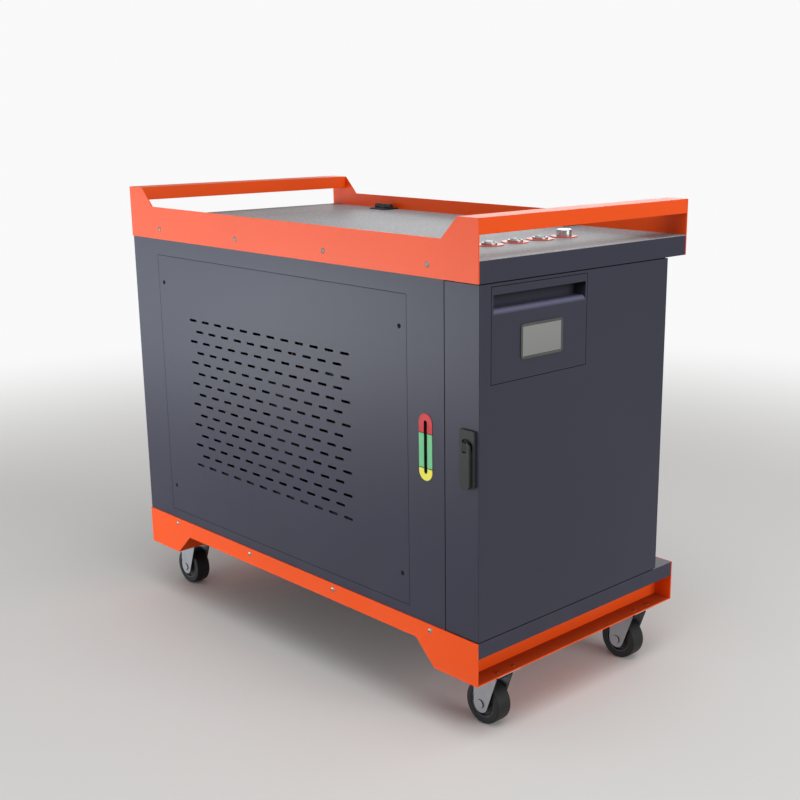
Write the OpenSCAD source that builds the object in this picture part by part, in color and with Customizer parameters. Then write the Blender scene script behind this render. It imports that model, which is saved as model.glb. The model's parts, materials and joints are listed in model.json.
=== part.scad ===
// Handheld laser welding machine on casters, with its cabinet, chiller and laser source.
// Origin: bottom centre on the floor. X is the width, Y the length with the front at -Y, Z is up.
// Heights named _h run up from the frame's underside.

/* [Overall] */
// Width over the two coloured side plates
overall_w = 550; // [500:10:600]
// Length over the side plates
overall_l = 1030; // [1000:5:1060]
// Height of the trolley frame's underside above the floor
frame_z = 111.5; // [108:0.5:120]
// From the right side plate's outer face to the cabinet's right panel
right_inset = 55.5; // [50:0.5:70]

/* [Levels above the frame] */
// Top of the base pan and of the lower side plates
rail_h = 79; // [70:1:90]
// Top of the door and panels, and bottom of the upper side plates
body_top_h = 686; // [680:1:700]
// Top face of the textured cover
cover_top_h = 723; // [715:1:740]
// Top edge of the upper side plates between their ears
shoulder_h = 751; // [745:1:765]
// Top of the handle bars
handle_top_h = 788.5; // [785:0.5:800]

/* [Sheet metal] */
// Thickness of the coloured side plates, cross members and handle bars
plate_t = 2.5; // [2:0.5:3]
// Thickness of the base pan and the cabinet's frame
pan_t = 2; // [1.5:0.5:2.5]
// Thickness of the cabinet's skins and the cover
skin_t = 1.5; // [1:0.25:1.5]
// Visible gap round the door and the removable panels
seam = 1.5; // [1:0.25:2]

/* [Trolley frame] */
// Length of each ear's foot, which is also the cross members' depth
foot_l = 106; // [96:1:112]
// Run of the slope from an ear's foot to the cut-out
foot_slope = 47; // [40:1:55]
// Height of the cut-out between the ears
foot_cut_h = 45; // [35:1:50]
// Depth of the base pan's folded edge
pan_flange_h = 29; // [24:1:32]
// Setback of the cross member's visible web
web_setback = 37; // [30:1:40]

/* [Upper frame] */
// Length of each upper ear's top edge, which is also the handle bars' depth
ear_l = 47; // [42:1:52]
// Run of the slope from an upper ear down to the shoulder
ear_slope = 37; // [30:1:45]
// Height of the handle bars
handle_h = 26; // [22:1:30]

/* [Screws] */
// From the front edge to the first side screw
screw_first = 116.3; // [114:0.1:120]
// From the last side screw to the rear edge
screw_last = 108.8; // [106:0.1:116]
// Screws in a row
screw_count = 4; // [4]
// Height of the lower screw row
screw_low_h = 67.5; // [62:0.5:70]
// Height of the upper screw row
screw_high_h = 707; // [700:1:712]

/* [Cabinet] */
// Depth of the door's folded sides
return_d = 79; // [70:1:85]
// Width of the frame's posts and bars
post_w = 25; // [22:1:28]
// Height of the shelf that carries the chiller
shelf_h = 222; // [218:1:228]

/* [Vent panel] */
// From the front edge to the panel's front edge
vent_first = 171; // [168:1:176]
// From the panel's rear edge to the rear edge of the frame
vent_rear = 91.5; // [88:0.5:96]
// Height of the panel's lower edge
vent_low_h = 99; // [95:1:104]
// From the panel's upper edge up to the body's top
vent_drop = 33.5; // [31:0.5:42]
// Length of a slot
slot_l = 25; // [22:0.5:27]
// Width of a slot
slot_w = 5; // [4:0.5:6]
// Pitch of the slots in a row
slot_pitch = 44; // [42:0.5:45]
// Pitch of the rows
row_pitch = 22; // [20:0.5:23]
// Slots in a full row
slot_count = 12; // [8:1:12]
// Rows of slots
row_count = 15; // [9:2:15]
// From the panel's middle back to the slot field's middle
field_shift = 22.25; // [16:0.25:30]
// From the panel's middle down to the slot field's middle
field_drop = 0.75; // [0:0.25:5]

/* [Level gauge] */
// From the front edge to the gauge's middle
gauge_at = 125.4; // [123:0.1:128]
// Height of the strip's lower end
gauge_low_h = 339.5; // [335:0.5:345]
// Length of the strip
gauge_l = 117.5; // [110:0.5:120]

/* [Display] */
// From the cabinet's left face to the surround
surround_in = 27.5; // [25:0.5:30]
// Width of the surround
surround_w = 235; // [230:1:240]
// From the surround's upper edge up to the door's top
surround_drop = 7.5; // [6:0.5:12]
// Height of the surround
surround_h = 157.5; // [155:0.5:158]
// Height of the pocket
pocket_h = 23.5; // [20:0.5:25]
// Width of the screen's bezel
bezel_w = 104; // [100:1:108]
// Height of the screen's bezel
bezel_h = 58.7; // [56:0.1:61]

/* [Lock] */
// From the front edge to the lock's middle
lock_at = 23.5; // [22:0.5:26]
// Width of the lock plate
lock_w = 34; // [32:0.5:36]
// Height of the lock plate
lock_l = 96; // [92:1:100]
// Height of the lock plate's lower end
lock_low_h = 352; // [348:1:356]
// Thickness of the lock plate
lock_t = 5.5; // [5:0.25:7]
// Height of the spindle above the plate's lower end
spindle_up = 68; // [66:1:70]
// Radius of the spindle
spindle_r = 6; // [5:0.5:6.5]
// Radius of the round recess in the lock plate
recess_r = 13.5; // [13:0.25:15]
// Width of the lever
lever_w = 22; // [20:0.5:23]
// From the spindle to the lever's lower end
lever_l = 73; // [71:1:75]
// Length of the hook cam's arm
cam_l = 46; // [44:1:48]

/* [Door hinges] */
// Heights of the three hinges' middles
hinge_heights = [150, 382, 615];

/* [Service hatch] */
// From the front edge to the hatch
hatch_first = 215; // [210:1:225]
// From the hatch to the rear edge
hatch_rear = 145; // [140:1:155]
// From the cover's left edge to the hatch
hatch_left = 62.5; // [58:0.5:72]
// From the cover's right edge to the hatch's hinge line
hatch_line_in = 22.5; // [22:0.5:24]
// From the front edge to the front hatch hinge
hatch_hinge_front = 283; // [278:1:290]
// From the rear hatch hinge to the rear edge
hatch_hinge_rear = 210; // [200:1:220]

/* [Controls] */
// From the front edge to the row of controls
control_at = 139; // [137:1:145]
// Pitch of the controls
control_pitch = 65.3; // [64:0.1:70]
// Place of the middle control from the cabinet's middle
control_shift = -15; // [-18:0.5:-12]
// Outer radius of a coloured collar
collar_r = 25; // [22:0.5:27]
// Radius of a control's hole in the cover
control_hole_r = 11.3; // [11:0.1:12]
// Radius of a push button
cap_r = 9.6; // [9:0.1:9.8]
// Travel of a push button
cap_travel = 2.4; // [1.5:0.1:2.5]
// Radius of the emergency stop's head
stop_r = 22; // [20:0.5:24]
// Height of the emergency stop's top above the cover
stop_h = 38; // [34:0.5:39]
// Travel of the emergency stop
stop_travel = 5; // [4:0.5:6]

/* [Casters] */
// Radius of a wheel
wheel_r = 40; // [38:0.5:41]
// Width of a wheel
wheel_w = 33; // [30:0.5:34]
// From the side plate's outer face to a caster's swivel axis
caster_side = 82.5; // [81:0.5:87]
// From the frame's end to a caster's swivel axis
caster_in = 42; // [41:0.5:44]

/* [Chiller] */
// From the front edge to the tank
tank_first = 112; // [110:1:115]
// Length, width and height of the tank
tank_size = [168, 188, 338];
// From the left face to the tank
tank_in = 34; // [32:1:38]
// Radius of the compressor's shell
compressor_r = 68; // [60:1:75]
// Height of the compressor's shell
compressor_h = 215; // [200:5:230]
// From the compressor's axis to the rear edge
compressor_in = 410; // [390:5:430]
// The compressor's axis from the machine's middle
compressor_x = -150; // [-160:5:-130]
// From the condenser's front to the rear edge
condenser_in = 158; // [150:1:162]
// Width, depth and height of the condenser
condenser_size = [380, 44, 370];
// Place of the condenser and the fan from the machine's middle
fan_x = -26.5; // [-30:0.5:-20]
// Height of the condenser's foot above its shelf
condenser_up = 28; // [20:1:33]
// Radius of the fan's blades
fan_r = 165; // [150:1:168]
// Number of fan blades
blade_count = 7; // [5:1:9]
// Radius that the blades are curved to
blade_curve_r = 95; // [85:1:110]
// Radius of the refrigerant pipes
pipe_r = 5; // [4:0.5:6]
// Radius of the water hoses
hose_r = 9; // [8:0.5:10]

/* [Laser source] */
// From the cabinet's sides to the laser source
laser_side = 36; // [34:1:46]
// From the front edge to the laser source
laser_first = 335; // [330:1:340]
// From the laser source to the rear edge
laser_rear = 95; // [90:1:105]
// Height of the laser source
laser_h = 118; // [110:1:118]

/* [Rear fittings] */
// Height of the row of fittings
fitting_h = 160; // [150:1:170]
// Place of the torch gland from the machine's middle
torch_gland_x = -185; // [-195:1:-175]
// Bore radius of the torch gland
torch_bore_r = 18; // [15:0.5:20]
// Place of the mains gland from the machine's middle
mains_gland_x = 150; // [140:1:160]
// Bore radius of the mains gland
mains_bore_r = 7; // [6:0.5:8]
// Place of the gas inlet from the machine's middle
gas_x = -110; // [-120:1:-100]
// Bore radius of the gas inlet
gas_bore_r = 4; // [3:0.5:5]
// Place of the drain plug from the machine's middle
drain_x = -45; // [-50:1:-40]
// Place of the main breaker from the machine's middle
breaker_x = 60; // [55:1:70]
// Width and height of the main breaker
breaker_size = [54, 82];
// Travel of the breaker's toggle
breaker_angle = 50; // [40:5:60]

/* [Hidden] */
$fn = 48;

// Clearances: between neighbours, on a shaft and in a slide, and the reach of a cut past a face
free_fit = 0.4;
run_fit = 0.06;
slide_fit = 0.2;
cut = 1;

// Screws: domed head, shank and the hole's clearance
head_h = 2.6;
shank_r = 2.5;
shank_l = 9;
hole_gap = 0.3;
head_r = 5.2;
vent_head_r = 4.4;
// The sight tube: its radius, wall and depth behind the panel, and the strip's thickness
gauge_t = 1;
sight_r = 6;
sight_wall = 1.5;
sight_in_x = 12;
// The surround's gap and hidden lip, and the screen's glass
surround_lip = 4;
surround_gap = 0.8;
bezel_edge = 3.9;
glass_t = 1.2;
// The lock's recess, pin, cam and keeper
recess_d = 3.5;
lever_pin_r = 1.5;
cam_w = 12;
cam_t = 3;
cam_in = 7;
keeper_r = 3;
// Hinges: leaf, knuckle and pin, and the hatch hinges' leaves
leaf_w = 24;
leaf_t = 2;
knuckle_r = 5;
pin_r = 2.5;
hinge_l = 60;
hatch_hinge_l = 50;
hatch_leaf_t = 3;
// Under each control: barrel and contact block
barrel_r = 11;
barrel_l = 24;
block_w = 30;
block_h = 32;
// Casters: plate, bearing, kingpin, cheeks and clearances
top_plate_t = 2.5;
bearing_h = 8;
bearing_r = 24;
kingpin_r = 6;
cheek_t = 3;
cheek_r = 17;
fork_head_r = 28;
wheel_gap = 1.6;
axle_r = 5;
hub_recess_r = 26;
// Filler neck and cap, fan hub and gap, blade thickness and the laser source's feet
neck_r = 28;
neck_h = 26;
tank_cap_r = 35;
hub_r = 46;
laser_foot_h = 6;
orifice_gap = 6;
blade_t = 2;
// The frame's gap to the door, the panel's ledge and the shelf's rails
post_gap = 3;
ledge_w = 25;
shelf_rail_h = 15;
// The vent panel's corner screws and the gauge's strip and sight slot
vent_screw_in = 18;
vent_screw_up = 55.5;
gauge_w = 32.5;
sight_w = 8;
sight_in = 12.2;
// The surround's pocket, and the screen's bezel and housing
pocket_side = 4.2;
pocket_roll = 9;
bezel_r = 6;
bezel_out = 2;
housing_d = 36;
// The lever, the places of bezel and pocket, and the hatch's axis and folded edge
lever_t = 5;
bezel_in = 68;
bezel_up = 31.8;
pocket_low = 121;
pocket_d = 26;
hatch_axis_h = 6.5;
hatch_flange = 14;
// Controls: bezels, heads, collar and key barrel
ring_r = 14;
ring_h = 3.2;
cap_out = 2.6;
stop_head_h = 10;
collar_t = 1.5;
key_r = 14;
key_h = 10;
// Caster bolts, top plates and trail
bolt_dx = 40;
bolt_dy = 60;
top_plate_w = 58;
top_plate_l = 80;
trail = 11;

y_front = -overall_l / 2;
y_rear = overall_l / 2;
x_plate = overall_w / 2 - plate_t;
x_left = -x_plate;
x_right = overall_w / 2 - right_inset;
body_cx = (x_left + x_right) / 2;
z_pan = frame_z + rail_h;
z_body = frame_z + body_top_h;
z_cover = frame_z + cover_top_h;
z_under = z_cover - skin_t;
y_panel = y_front + return_d + seam;
y_post = y_front + return_d + post_gap;
inner_left = x_left + skin_t;
inner_right = x_right - skin_t;
inner_rear = y_rear - skin_t;
surround_low_h = body_top_h - surround_drop - surround_h;
caster_x = overall_w / 2 - caster_side;
fan_h = shelf_h + condenser_up + condenser_size[2] / 2;
screw_pitch = (overall_l - screw_first - screw_last) / (screw_count - 1);
vent_l = overall_l - vent_first - vent_rear;
vent_h = body_top_h - vent_drop - vent_low_h;
field_mid = vent_first + vent_l / 2 + field_shift;
field_h = vent_low_h + vent_h / 2 - field_drop;
hatch_l = overall_l - hatch_first - hatch_rear;
hatch_w = 2 * x_plate - hatch_line_in - hatch_left;
hatch_hinges_at = [hatch_hinge_front, overall_l - hatch_hinge_rear];
compressor_at = overall_l - compressor_in;
condenser_at = overall_l - condenser_in;
laser_size = [x_right - x_left - 2 * laser_side, overall_l - laser_first - laser_rear, laser_h];

screw_spots = [for (i = [0:screw_count - 1]) y_front + screw_first + i * screw_pitch];

steel = [0.75, 0.76, 0.78];
orange = [0.90, 0.36, 0.16];
grey = [0.27, 0.28, 0.32];
black = [0.10, 0.10, 0.11];
green = [0.55, 0.75, 0.60];
cover_grey = [0.55, 0.56, 0.60];
dark_grey = [0.33, 0.34, 0.38];
bare_metal = [0.75, 0.76, 0.78];
copper = [0.72, 0.45, 0.28];

// A flat sheet from a YZ outline, from x onwards
module sheet_yz(x, t) {
  translate([x, 0, 0])
    rotate([90, 0, 90])
      linear_extrude(t)
        children();
}

// A flat sheet from an XZ outline, from y onwards
module sheet_xz(y, t) {
  translate([0, y + t, 0])
    rotate([90, 0, 0])
      linear_extrude(t)
        children();
}

// A box between two corners
module span(low, high) {
  translate(low)
    cube(high - low);
}

// A rectangle about its middle with rounded corners
module rounded_rect(w, h, r) {
  square([w - 2 * r, h], center = true);
  square([w, h - 2 * r], center = true);
  for (x = [-1, 1], y = [-1, 1])
    translate([x * (w / 2 - r), y * (h / 2 - r)])
      circle(r);
}

// A slot with round ends along the first axis
module stadium(l, w) {
  square([l - w, w], center = true);
  for (s = [-1, 1])
    translate([s * (l - w) / 2, 0])
      circle(w / 2);
}

// A cylinder along X from x to x + l
module rod_x(x, l, r) {
  translate([x, 0, 0])
    rotate([0, 90, 0])
      cylinder(h = l, r = r);
}

// A cylinder along Y from y to y + l
module rod_y(y, l, r) {
  translate([0, y, 0])
    rotate([-90, 0, 0])
      cylinder(h = l, r = r);
}

// The points of one end of a side plate and their mirror image at the other end
function both_ends(half) = concat(half, [for (i = [len(half) - 1:-1:0]) [-half[i][0], half[i][1]]]);

// A screw along Z whose dome stands on the plane z = 0
module domed_screw(r, h, shank, length) {
  dome_r = (r * r + h * h) / (2 * h);
  intersection() {
    translate([0, 0, h - dome_r])
      sphere(dome_r);
    cylinder(h = h, r = r);
  }
  translate([0, 0, -length])
    cylinder(h = length, r = shank);
}

// Rotation angles that carry X and Y onto two given perpendicular unit vectors
function turn_to(ex, ey) =
  let (ez = cross(ex, ey))
  abs(ex[2]) > 0.999
    ? [atan2(-ez[1], ey[1]), -90 * sign(ex[2]), 0]
    : [atan2(ey[2], ez[2]), -asin(ex[2]), atan2(ex[1], ex[0])];
function unit(v) = v / norm(v);

// A round pipe of radius r along points, with square turns bent to radius b
module pipe(points, r, b) {
  last = len(points) - 1;
  for (i = [0:last - 1]) {
    d = unit(points[i + 1] - points[i]);
    start = points[i] + (i == 0 ? 0 : b) * d;
    length = norm(points[i + 1] - points[i]) - (i == 0 ? 0 : b) - (i == last - 1 ? 0 : b);
    translate(start)
      rotate([0, acos(d[2]), atan2(d[1], d[0])])
        cylinder(h = length, r = r);
  }
  for (i = [1:1:last - 1]) {
    u = unit(points[i] - points[i - 1]);
    v = unit(points[i + 1] - points[i]);
    translate(points[i] - u * b + v * b)
      rotate(turn_to(-v, u))
        rotate_extrude(angle = 90)
          translate([b, 0])
            circle(r);
  }
}

// Screw holes of the side plates at height h
module side_holes(h) {
  for (y = screw_spots)
    translate([y, frame_z + h])
      circle(shank_r + hole_gap);
}

module base_pan() {
  z_low = z_pan - pan_flange_h;
  color(grey)
    difference() {
      span([-x_plate, y_front, z_low], [x_plate, y_rear, z_pan]);
      span([-x_plate + pan_t, y_front + pan_t, z_low - cut],
        [x_plate - pan_t, y_rear - pan_t, z_pan - pan_t]);
      for (x = [-x_plate - cut, x_plate - pan_t - cut])
        sheet_yz(x, pan_t + 2 * cut)
          side_holes(screw_low_h);
    }
}

module side_plate(x) {
  half = [
    [overall_l / 2 - foot_l - foot_slope, frame_z + foot_cut_h],
    [overall_l / 2 - foot_l, frame_z],
    [overall_l / 2, frame_z],
    [overall_l / 2, z_pan]
  ];
  color(orange)
    sheet_yz(x, plate_t)
      difference() {
        polygon(both_ends(half));
        side_holes(screw_low_h);
      }
}

// Bolt spots of one caster, about its swivel axis
module at_bolts() {
  for (x = [-1, 1], y = [-1, 1])
    translate([x * bolt_dx / 2, y * bolt_dy / 2, 0])
      children();
}

// The four swivel axes
module at_casters() {
  for (x = [-1, 1], y = [-1, 1])
    translate([x * caster_x, y * (overall_l / 2 - caster_in), frame_z])
      children();
}

// The front cross member: a foot plate with two upright webs that carry the pan
module cross_member() {
  difference() {
    union() {
      span([-x_plate, y_front, frame_z], [x_plate, y_front + foot_l, frame_z + plate_t]);
      for (y = [y_front + web_setback, y_front + foot_l - plate_t]) {
        span([-x_plate, y, frame_z], [x_plate, y + plate_t, z_pan - pan_flange_h]);
        span([pan_t - x_plate, y, frame_z], [x_plate - pan_t, y + plate_t, z_pan - pan_t]);
      }
    }
    at_casters()
      at_bolts()
        cylinder(h = 3 * plate_t, r = shank_r + hole_gap, center = true);
  }
}
module cross_members() {
  color(orange) {
    cross_member();
    mirror([0, 1, 0])
      cross_member();
  }
}

module upper_plate(x) {
  half = [
    [overall_l / 2, z_body],
    [overall_l / 2, frame_z + handle_top_h],
    [overall_l / 2 - ear_l, frame_z + handle_top_h],
    [overall_l / 2 - ear_l - ear_slope, frame_z + shoulder_h]
  ];
  color(orange)
    sheet_yz(x, plate_t)
      difference() {
        polygon(both_ends(half));
        side_holes(screw_high_h);
      }
}

// Two folded channels, open below, between the upper ears
module handle_bars() {
  z_top = frame_z + handle_top_h;
  color(orange)
    for (s = [0, 1])
      mirror([0, s, 0])
        difference() {
          span([-x_plate, y_front, z_top - handle_h], [x_plate, y_front + ear_l, z_top]);
          span([-x_plate - cut, y_front + plate_t, z_top - handle_h - cut],
            [x_plate + cut, y_front + ear_l - plate_t, z_top - plate_t]);
        }
}

control_spots = [for (i = [-2:2]) body_cx + control_shift + i * control_pitch];
module at_control(i) {
  translate([control_spots[i], y_front + control_at, z_cover])
    children();
}

hatch_x = x_plate - hatch_line_in;
hatch_y = y_front + hatch_first;
hatch_ledge = 10;

// The cover: a folded pan with the hatch's opening and ledge, and a closed overhang on the right
module top_cover() {
  color(cover_grey)
    difference() {
      span([-x_plate, y_front, z_body], [x_plate, y_rear, z_cover]);
      span([-x_plate + skin_t, y_front + skin_t, z_body - cut],
        [x_right + free_fit, y_rear - skin_t, z_under - skin_t]);
      span([x_right, y_front + skin_t, z_body + skin_t],
        [x_plate - skin_t, y_rear - skin_t, z_under - skin_t]);
      difference() {
        span([-x_plate + skin_t, y_front + skin_t, z_under - 2 * skin_t],
          [x_plate - skin_t, y_rear - skin_t, z_under]);
        span([hatch_x - hatch_w - hatch_ledge, hatch_y - hatch_ledge, z_under - skin_t],
          [hatch_x + seam, hatch_y + hatch_l + hatch_ledge, z_cover]);
      }
      span([hatch_x - hatch_w - seam / 2, hatch_y - seam / 2, z_under],
        [hatch_x + seam / 2, hatch_y + hatch_l + seam / 2, z_cover + cut]);
      span([hatch_x - hatch_w + hatch_ledge, hatch_y + hatch_ledge, z_under - 2 * skin_t],
        [hatch_x + seam / 2, hatch_y + hatch_l - hatch_ledge, z_cover + cut]);
      span([hatch_x - hatch_ledge, hatch_y - seam / 2, z_under - 2 * skin_t],
        [hatch_x + seam / 2, hatch_y + hatch_l + seam / 2, z_cover + cut]);
      for (i = [0:4])
        at_control(i)
          cylinder(h = 4 * skin_t, r = control_hole_r, center = true);
      for (x = [-x_plate - cut, x_plate - skin_t - cut])
        sheet_yz(x, skin_t + 2 * cut)
          side_holes(screw_high_h);
    }
}

keeper_y = y_front + lock_at + cam_l - keeper_r - 2 * free_fit;
spindle_z = frame_z + lock_low_h + spindle_up;
cam_x = inner_left + cam_in;
keeper_gap = 2;

// One L post of the cabinet's frame, its outer corner at x, y, with legs towards dx, dy
module post(x, y, dx, dy) {
  z_top = z_under - pan_t;
  span([min(x, x + dx * post_w), min(y, y + dy * pan_t), z_pan],
    [max(x, x + dx * post_w), max(y, y + dy * pan_t), z_top]);
  span([min(x, x + dx * pan_t), min(y, y + dy * post_w), z_pan],
    [max(x, x + dx * pan_t), max(y, y + dy * post_w), z_top]);
}

module cabinet_frame() {
  rail_z = frame_z + shelf_h - pan_t;
  color(dark_grey) {
    post(inner_left, y_post, 1, 1);
    post(inner_right, y_post, -1, 1);
    post(inner_left, inner_rear, 1, -1);
    post(inner_right, inner_rear, -1, -1);
    // Three bars under the cover and an upright strip below the hatch's hinges
    difference() {
      span([inner_left, y_post, z_under - pan_t], [inner_right, inner_rear, z_under]);
      span([inner_left + post_w, y_post + post_w, z_under - pan_t - cut],
        [inner_right + cut, inner_rear - post_w, z_under + cut]);
    }
    span([inner_right - pan_t, y_post, z_body - post_w], [inner_right, inner_rear, z_body]);
    // Rails under the shelf
    for (s = [-1, 1]) {
      x = s < 0 ? inner_left + pan_t : inner_right - pan_t;
      span([min(x, x - s * pan_t), y_post, rail_z - shelf_rail_h],
        [max(x, x - s * pan_t), inner_rear, rail_z]);
      span([min(x, x - s * post_w), y_post + pan_t, rail_z - pan_t],
        [max(x, x - s * post_w), inner_rear - pan_t, rail_z]);
    }
    // Keeper: an arm off the front left post with the peg that the hook cam catches
    arm_x = cam_x + cam_t + keeper_gap;
    arm_h = 4 * keeper_r;
    peg_z = spindle_z + cam_w / 2 + keeper_r + free_fit;
    span([arm_x, keeper_y - 1.5 * keeper_r, peg_z - arm_h / 2],
      [arm_x + pan_t, y_post + pan_t, peg_z + arm_h / 2]);
    translate([0, keeper_y, peg_z])
      rod_x(cam_x - keeper_gap / 2, arm_x - cam_x + keeper_gap / 2 + pan_t, keeper_r);
  }
}

// The field of slots as a flat outline, the length along Y
module slot_field() {
  for (row = [0:row_count - 1]) {
    full = row % 2 == 0;
    count = full ? slot_count : slot_count - 1;
    for (i = [0:count - 1])
      translate([
        y_front + field_mid + (i - (count - 1) / 2) * slot_pitch,
        frame_z + field_h + (row - (row_count - 1) / 2) * row_pitch
      ])
        stadium(slot_l, slot_w);
  }
}

// A rectangle of the vent panel's size, grown by g
module vent_outline(g) {
  translate([y_front + vent_first - g, frame_z + vent_low_h - g])
    square([vent_l + 2 * g, vent_h + 2 * g]);
}

module at_vent_screws() {
  for (y = [vent_screw_in, vent_l - vent_screw_in], z = [vent_screw_up, vent_h - vent_screw_up])
    translate([y_front + vent_first + y, frame_z + vent_low_h + z])
      children();
}

// A side skin of the cabinet between the pan and the cover
module side_outline() {
  translate([y_panel, z_pan])
    square([y_rear - y_panel, z_body - z_pan]);
}

module left_panel() {
  color(grey)
    difference() {
      union() {
        sheet_yz(x_left, skin_t)
          difference() {
            side_outline();
            vent_outline(seam / 2);
          }
        sheet_yz(inner_left, skin_t)
          difference() {
            vent_outline(ledge_w / 2);
            vent_outline(-ledge_w);
          }
      }
      sheet_yz(x_left - cut, 2 * skin_t + 2 * cut) {
        translate([y_front + gauge_at, frame_z + gauge_low_h + gauge_l / 2])
          rotate(90)
            stadium(gauge_l - 2 * sight_in, sight_w);
        at_vent_screws()
          circle(shank_r + hole_gap);
      }
    }
}

module vent_panel() {
  color(grey)
    sheet_yz(x_left, skin_t)
      difference() {
        vent_outline(0);
        slot_field();
        at_vent_screws()
          circle(shank_r + hole_gap);
      }
}

module right_panel() {
  color(grey)
    sheet_yz(inner_right, skin_t)
      difference() {
        side_outline();
        slot_field();
      }
}

z_fan = frame_z + fan_h;
grille_rings = [for (i = [1:6]) i * fan_r / 6];
spoke_w = 7;
torch_wall = 5;
mains_wall = 4;
fitting_wall = 4;

module rear_panel() {
  color(grey)
    sheet_xz(inner_rear, skin_t)
      difference() {
        translate([inner_left, z_pan])
          square([inner_right - inner_left, z_body - z_pan]);
        translate([fan_x, z_fan])
          difference() {
            for (r = grille_rings)
              difference() {
                circle(r);
                circle(r - fan_r / 12);
              }
            for (a = [45, 135])
              rotate(a)
                square([2 * fan_r + 2 * cut, spoke_w], center = true);
          }
        translate([torch_gland_x, frame_z + fitting_h])
          circle(torch_bore_r + torch_wall + hole_gap);
        translate([mains_gland_x, frame_z + fitting_h])
          circle(mains_bore_r + mains_wall + hole_gap);
        for (x = [gas_x, drain_x])
          translate([x, frame_z + fitting_h])
            circle(gas_bore_r + fitting_wall + hole_gap);
        translate([breaker_x, frame_z + fitting_h])
          square(breaker_size + [2, 2] * free_fit, center = true);
      }
}

// Side screws on both sides, the vent panel's corner screws and the casters' bolts with their nuts
module screws() {
  nut_r = 1.9 * shank_r;
  nut_h = 1.6 * shank_r;
  color(steel) {
    for (h = [screw_low_h, screw_high_h], y = screw_spots, s = [-1, 1])
      translate([s * overall_w / 2, y, frame_z + h])
        rotate([0, s * 90, 0])
          domed_screw(head_r, head_h, shank_r, shank_l);
    at_casters()
      at_bolts() {
        translate([0, 0, plate_t])
          domed_screw(head_r, head_h, shank_r, plate_t + top_plate_t + nut_h);
        translate([0, 0, -top_plate_t - nut_h])
          cylinder(h = nut_h, r = nut_r, $fn = 6);
      }
    translate([x_left, 0, 0])
      for (y = [vent_screw_in, vent_l - vent_screw_in], z = [vent_screw_up, vent_h - vent_screw_up])
        translate([0, y_front + vent_first + y, frame_z + vent_low_h + z])
          rotate([0, -90, 0])
            domed_screw(vent_head_r, head_h / 2, shank_r, shank_l);
  }
}

sight_x = x_left + sight_in_x;
sight_low = frame_z + gauge_low_h - 2 * sight_r;
sight_high = frame_z + gauge_low_h + gauge_l + 2 * sight_r;
tank_x = x_left + tank_in;

// The coloured strip round the sight slot, and the sight tube with its elbows to the tank
module level_gauge() {
  y = y_front + gauge_at;
  color("white")
    sheet_yz(x_left - gauge_t, gauge_t)
      translate([y, frame_z + gauge_low_h + gauge_l / 2])
        rotate(90)
          difference() {
            stadium(gauge_l, gauge_w);
            stadium(gauge_l - 2 * sight_in, sight_w);
          }
  color([0.8, 0.9, 0.95, 0.5])
    difference() {
      union() {
        translate([sight_x, y, sight_low])
          cylinder(h = sight_high - sight_low, r = sight_r);
        for (z = [sight_low + sight_r, sight_high - sight_r])
          translate([0, y, z])
            rod_x(sight_x, tank_x - sight_x, sight_r - sight_wall / 2);
      }
      translate([sight_x, y, sight_low + sight_wall])
        cylinder(h = sight_high - sight_low - 2 * sight_wall, r = sight_r - sight_wall);
    }
}

module service_hatch() {
  z_low = z_cover - hatch_flange;
  inner = hatch_ledge + 2 * free_fit;
  x_high = inner_right - pan_t - hatch_ledge;
  color(cover_grey) {
    span([hatch_x - hatch_w + seam / 2, hatch_y + seam / 2, z_under],
      [hatch_x - seam / 2, hatch_y + hatch_l - seam / 2, z_cover]);
    difference() {
      span([hatch_x - hatch_w + inner, hatch_y + inner, z_low],
        [x_high, hatch_y + hatch_l - inner, z_under + skin_t / 2]);
      span([hatch_x - hatch_w + inner + skin_t, hatch_y + inner + skin_t, z_low - cut],
        [x_high - skin_t, hatch_y + hatch_l - inner - skin_t, z_under]);
    }
  }
}

hatch_axis_z = z_cover + hatch_axis_h;
hatch_knuckle_r = hatch_axis_h - free_fit;
hatch_leaf_w = hatch_line_in - skin_t;
third = hatch_hinge_l / 3;

// One half of a hatch hinge, towards side s of the axis, with knuckles over the given lengths
module hatch_half(s, spans, bore) {
  x = [s * seam / 2, s * hatch_leaf_w];
  for (y_mid = hatch_hinges_at)
    translate([hatch_x, y_front + y_mid, 0])
      difference() {
        union() {
          span([min(x), -hatch_hinge_l / 2, z_cover],
            [max(x), hatch_hinge_l / 2, z_cover + hatch_leaf_t]);
          for (k = spans) {
            span([min(0, s * hatch_knuckle_r), k[0], z_cover + free_fit],
              [max(0, s * hatch_knuckle_r), k[1], hatch_axis_z]);
            translate([0, 0, hatch_axis_z])
              rod_y(k[0], k[1] - k[0], hatch_knuckle_r);
          }
        }
        translate([0, 0, hatch_axis_z])
          rod_y(-hatch_hinge_l, 2 * hatch_hinge_l, bore);
        // The other half's knuckles turn in this leaf's cut-outs
        for (k = s > 0 ? [[-third / 2, third / 2]] : [[-1.5 * third, -third / 2], [third / 2, 1.5 * third]])
          translate([0, 0, hatch_axis_z])
            rod_y(k[0] - free_fit, k[1] - k[0] + 2 * free_fit, hatch_knuckle_r + free_fit);
      }
}

module hatch_hinge_bases() {
  color(black) {
    hatch_half(1, [
      [-1.5 * third, -third / 2 - free_fit / 2],
      [third / 2 + free_fit / 2, 1.5 * third]
    ], pin_r);
    for (y_mid = hatch_hinges_at)
      translate([hatch_x, y_front + y_mid, hatch_axis_z])
        rod_y(-hatch_hinge_l / 2, hatch_hinge_l, pin_r);
  }
}

module hatch_hinge_leaves() {
  color(black)
    hatch_half(-1, [[-third / 2 + free_fit / 2, third / 2 - free_fit / 2]], pin_r + run_fit);
}

door_low = z_pan + seam;
door_high = z_body - seam;
door_flange = 14;
surround_x = x_left + surround_in;
surround_z = frame_z + surround_low_h;

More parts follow.
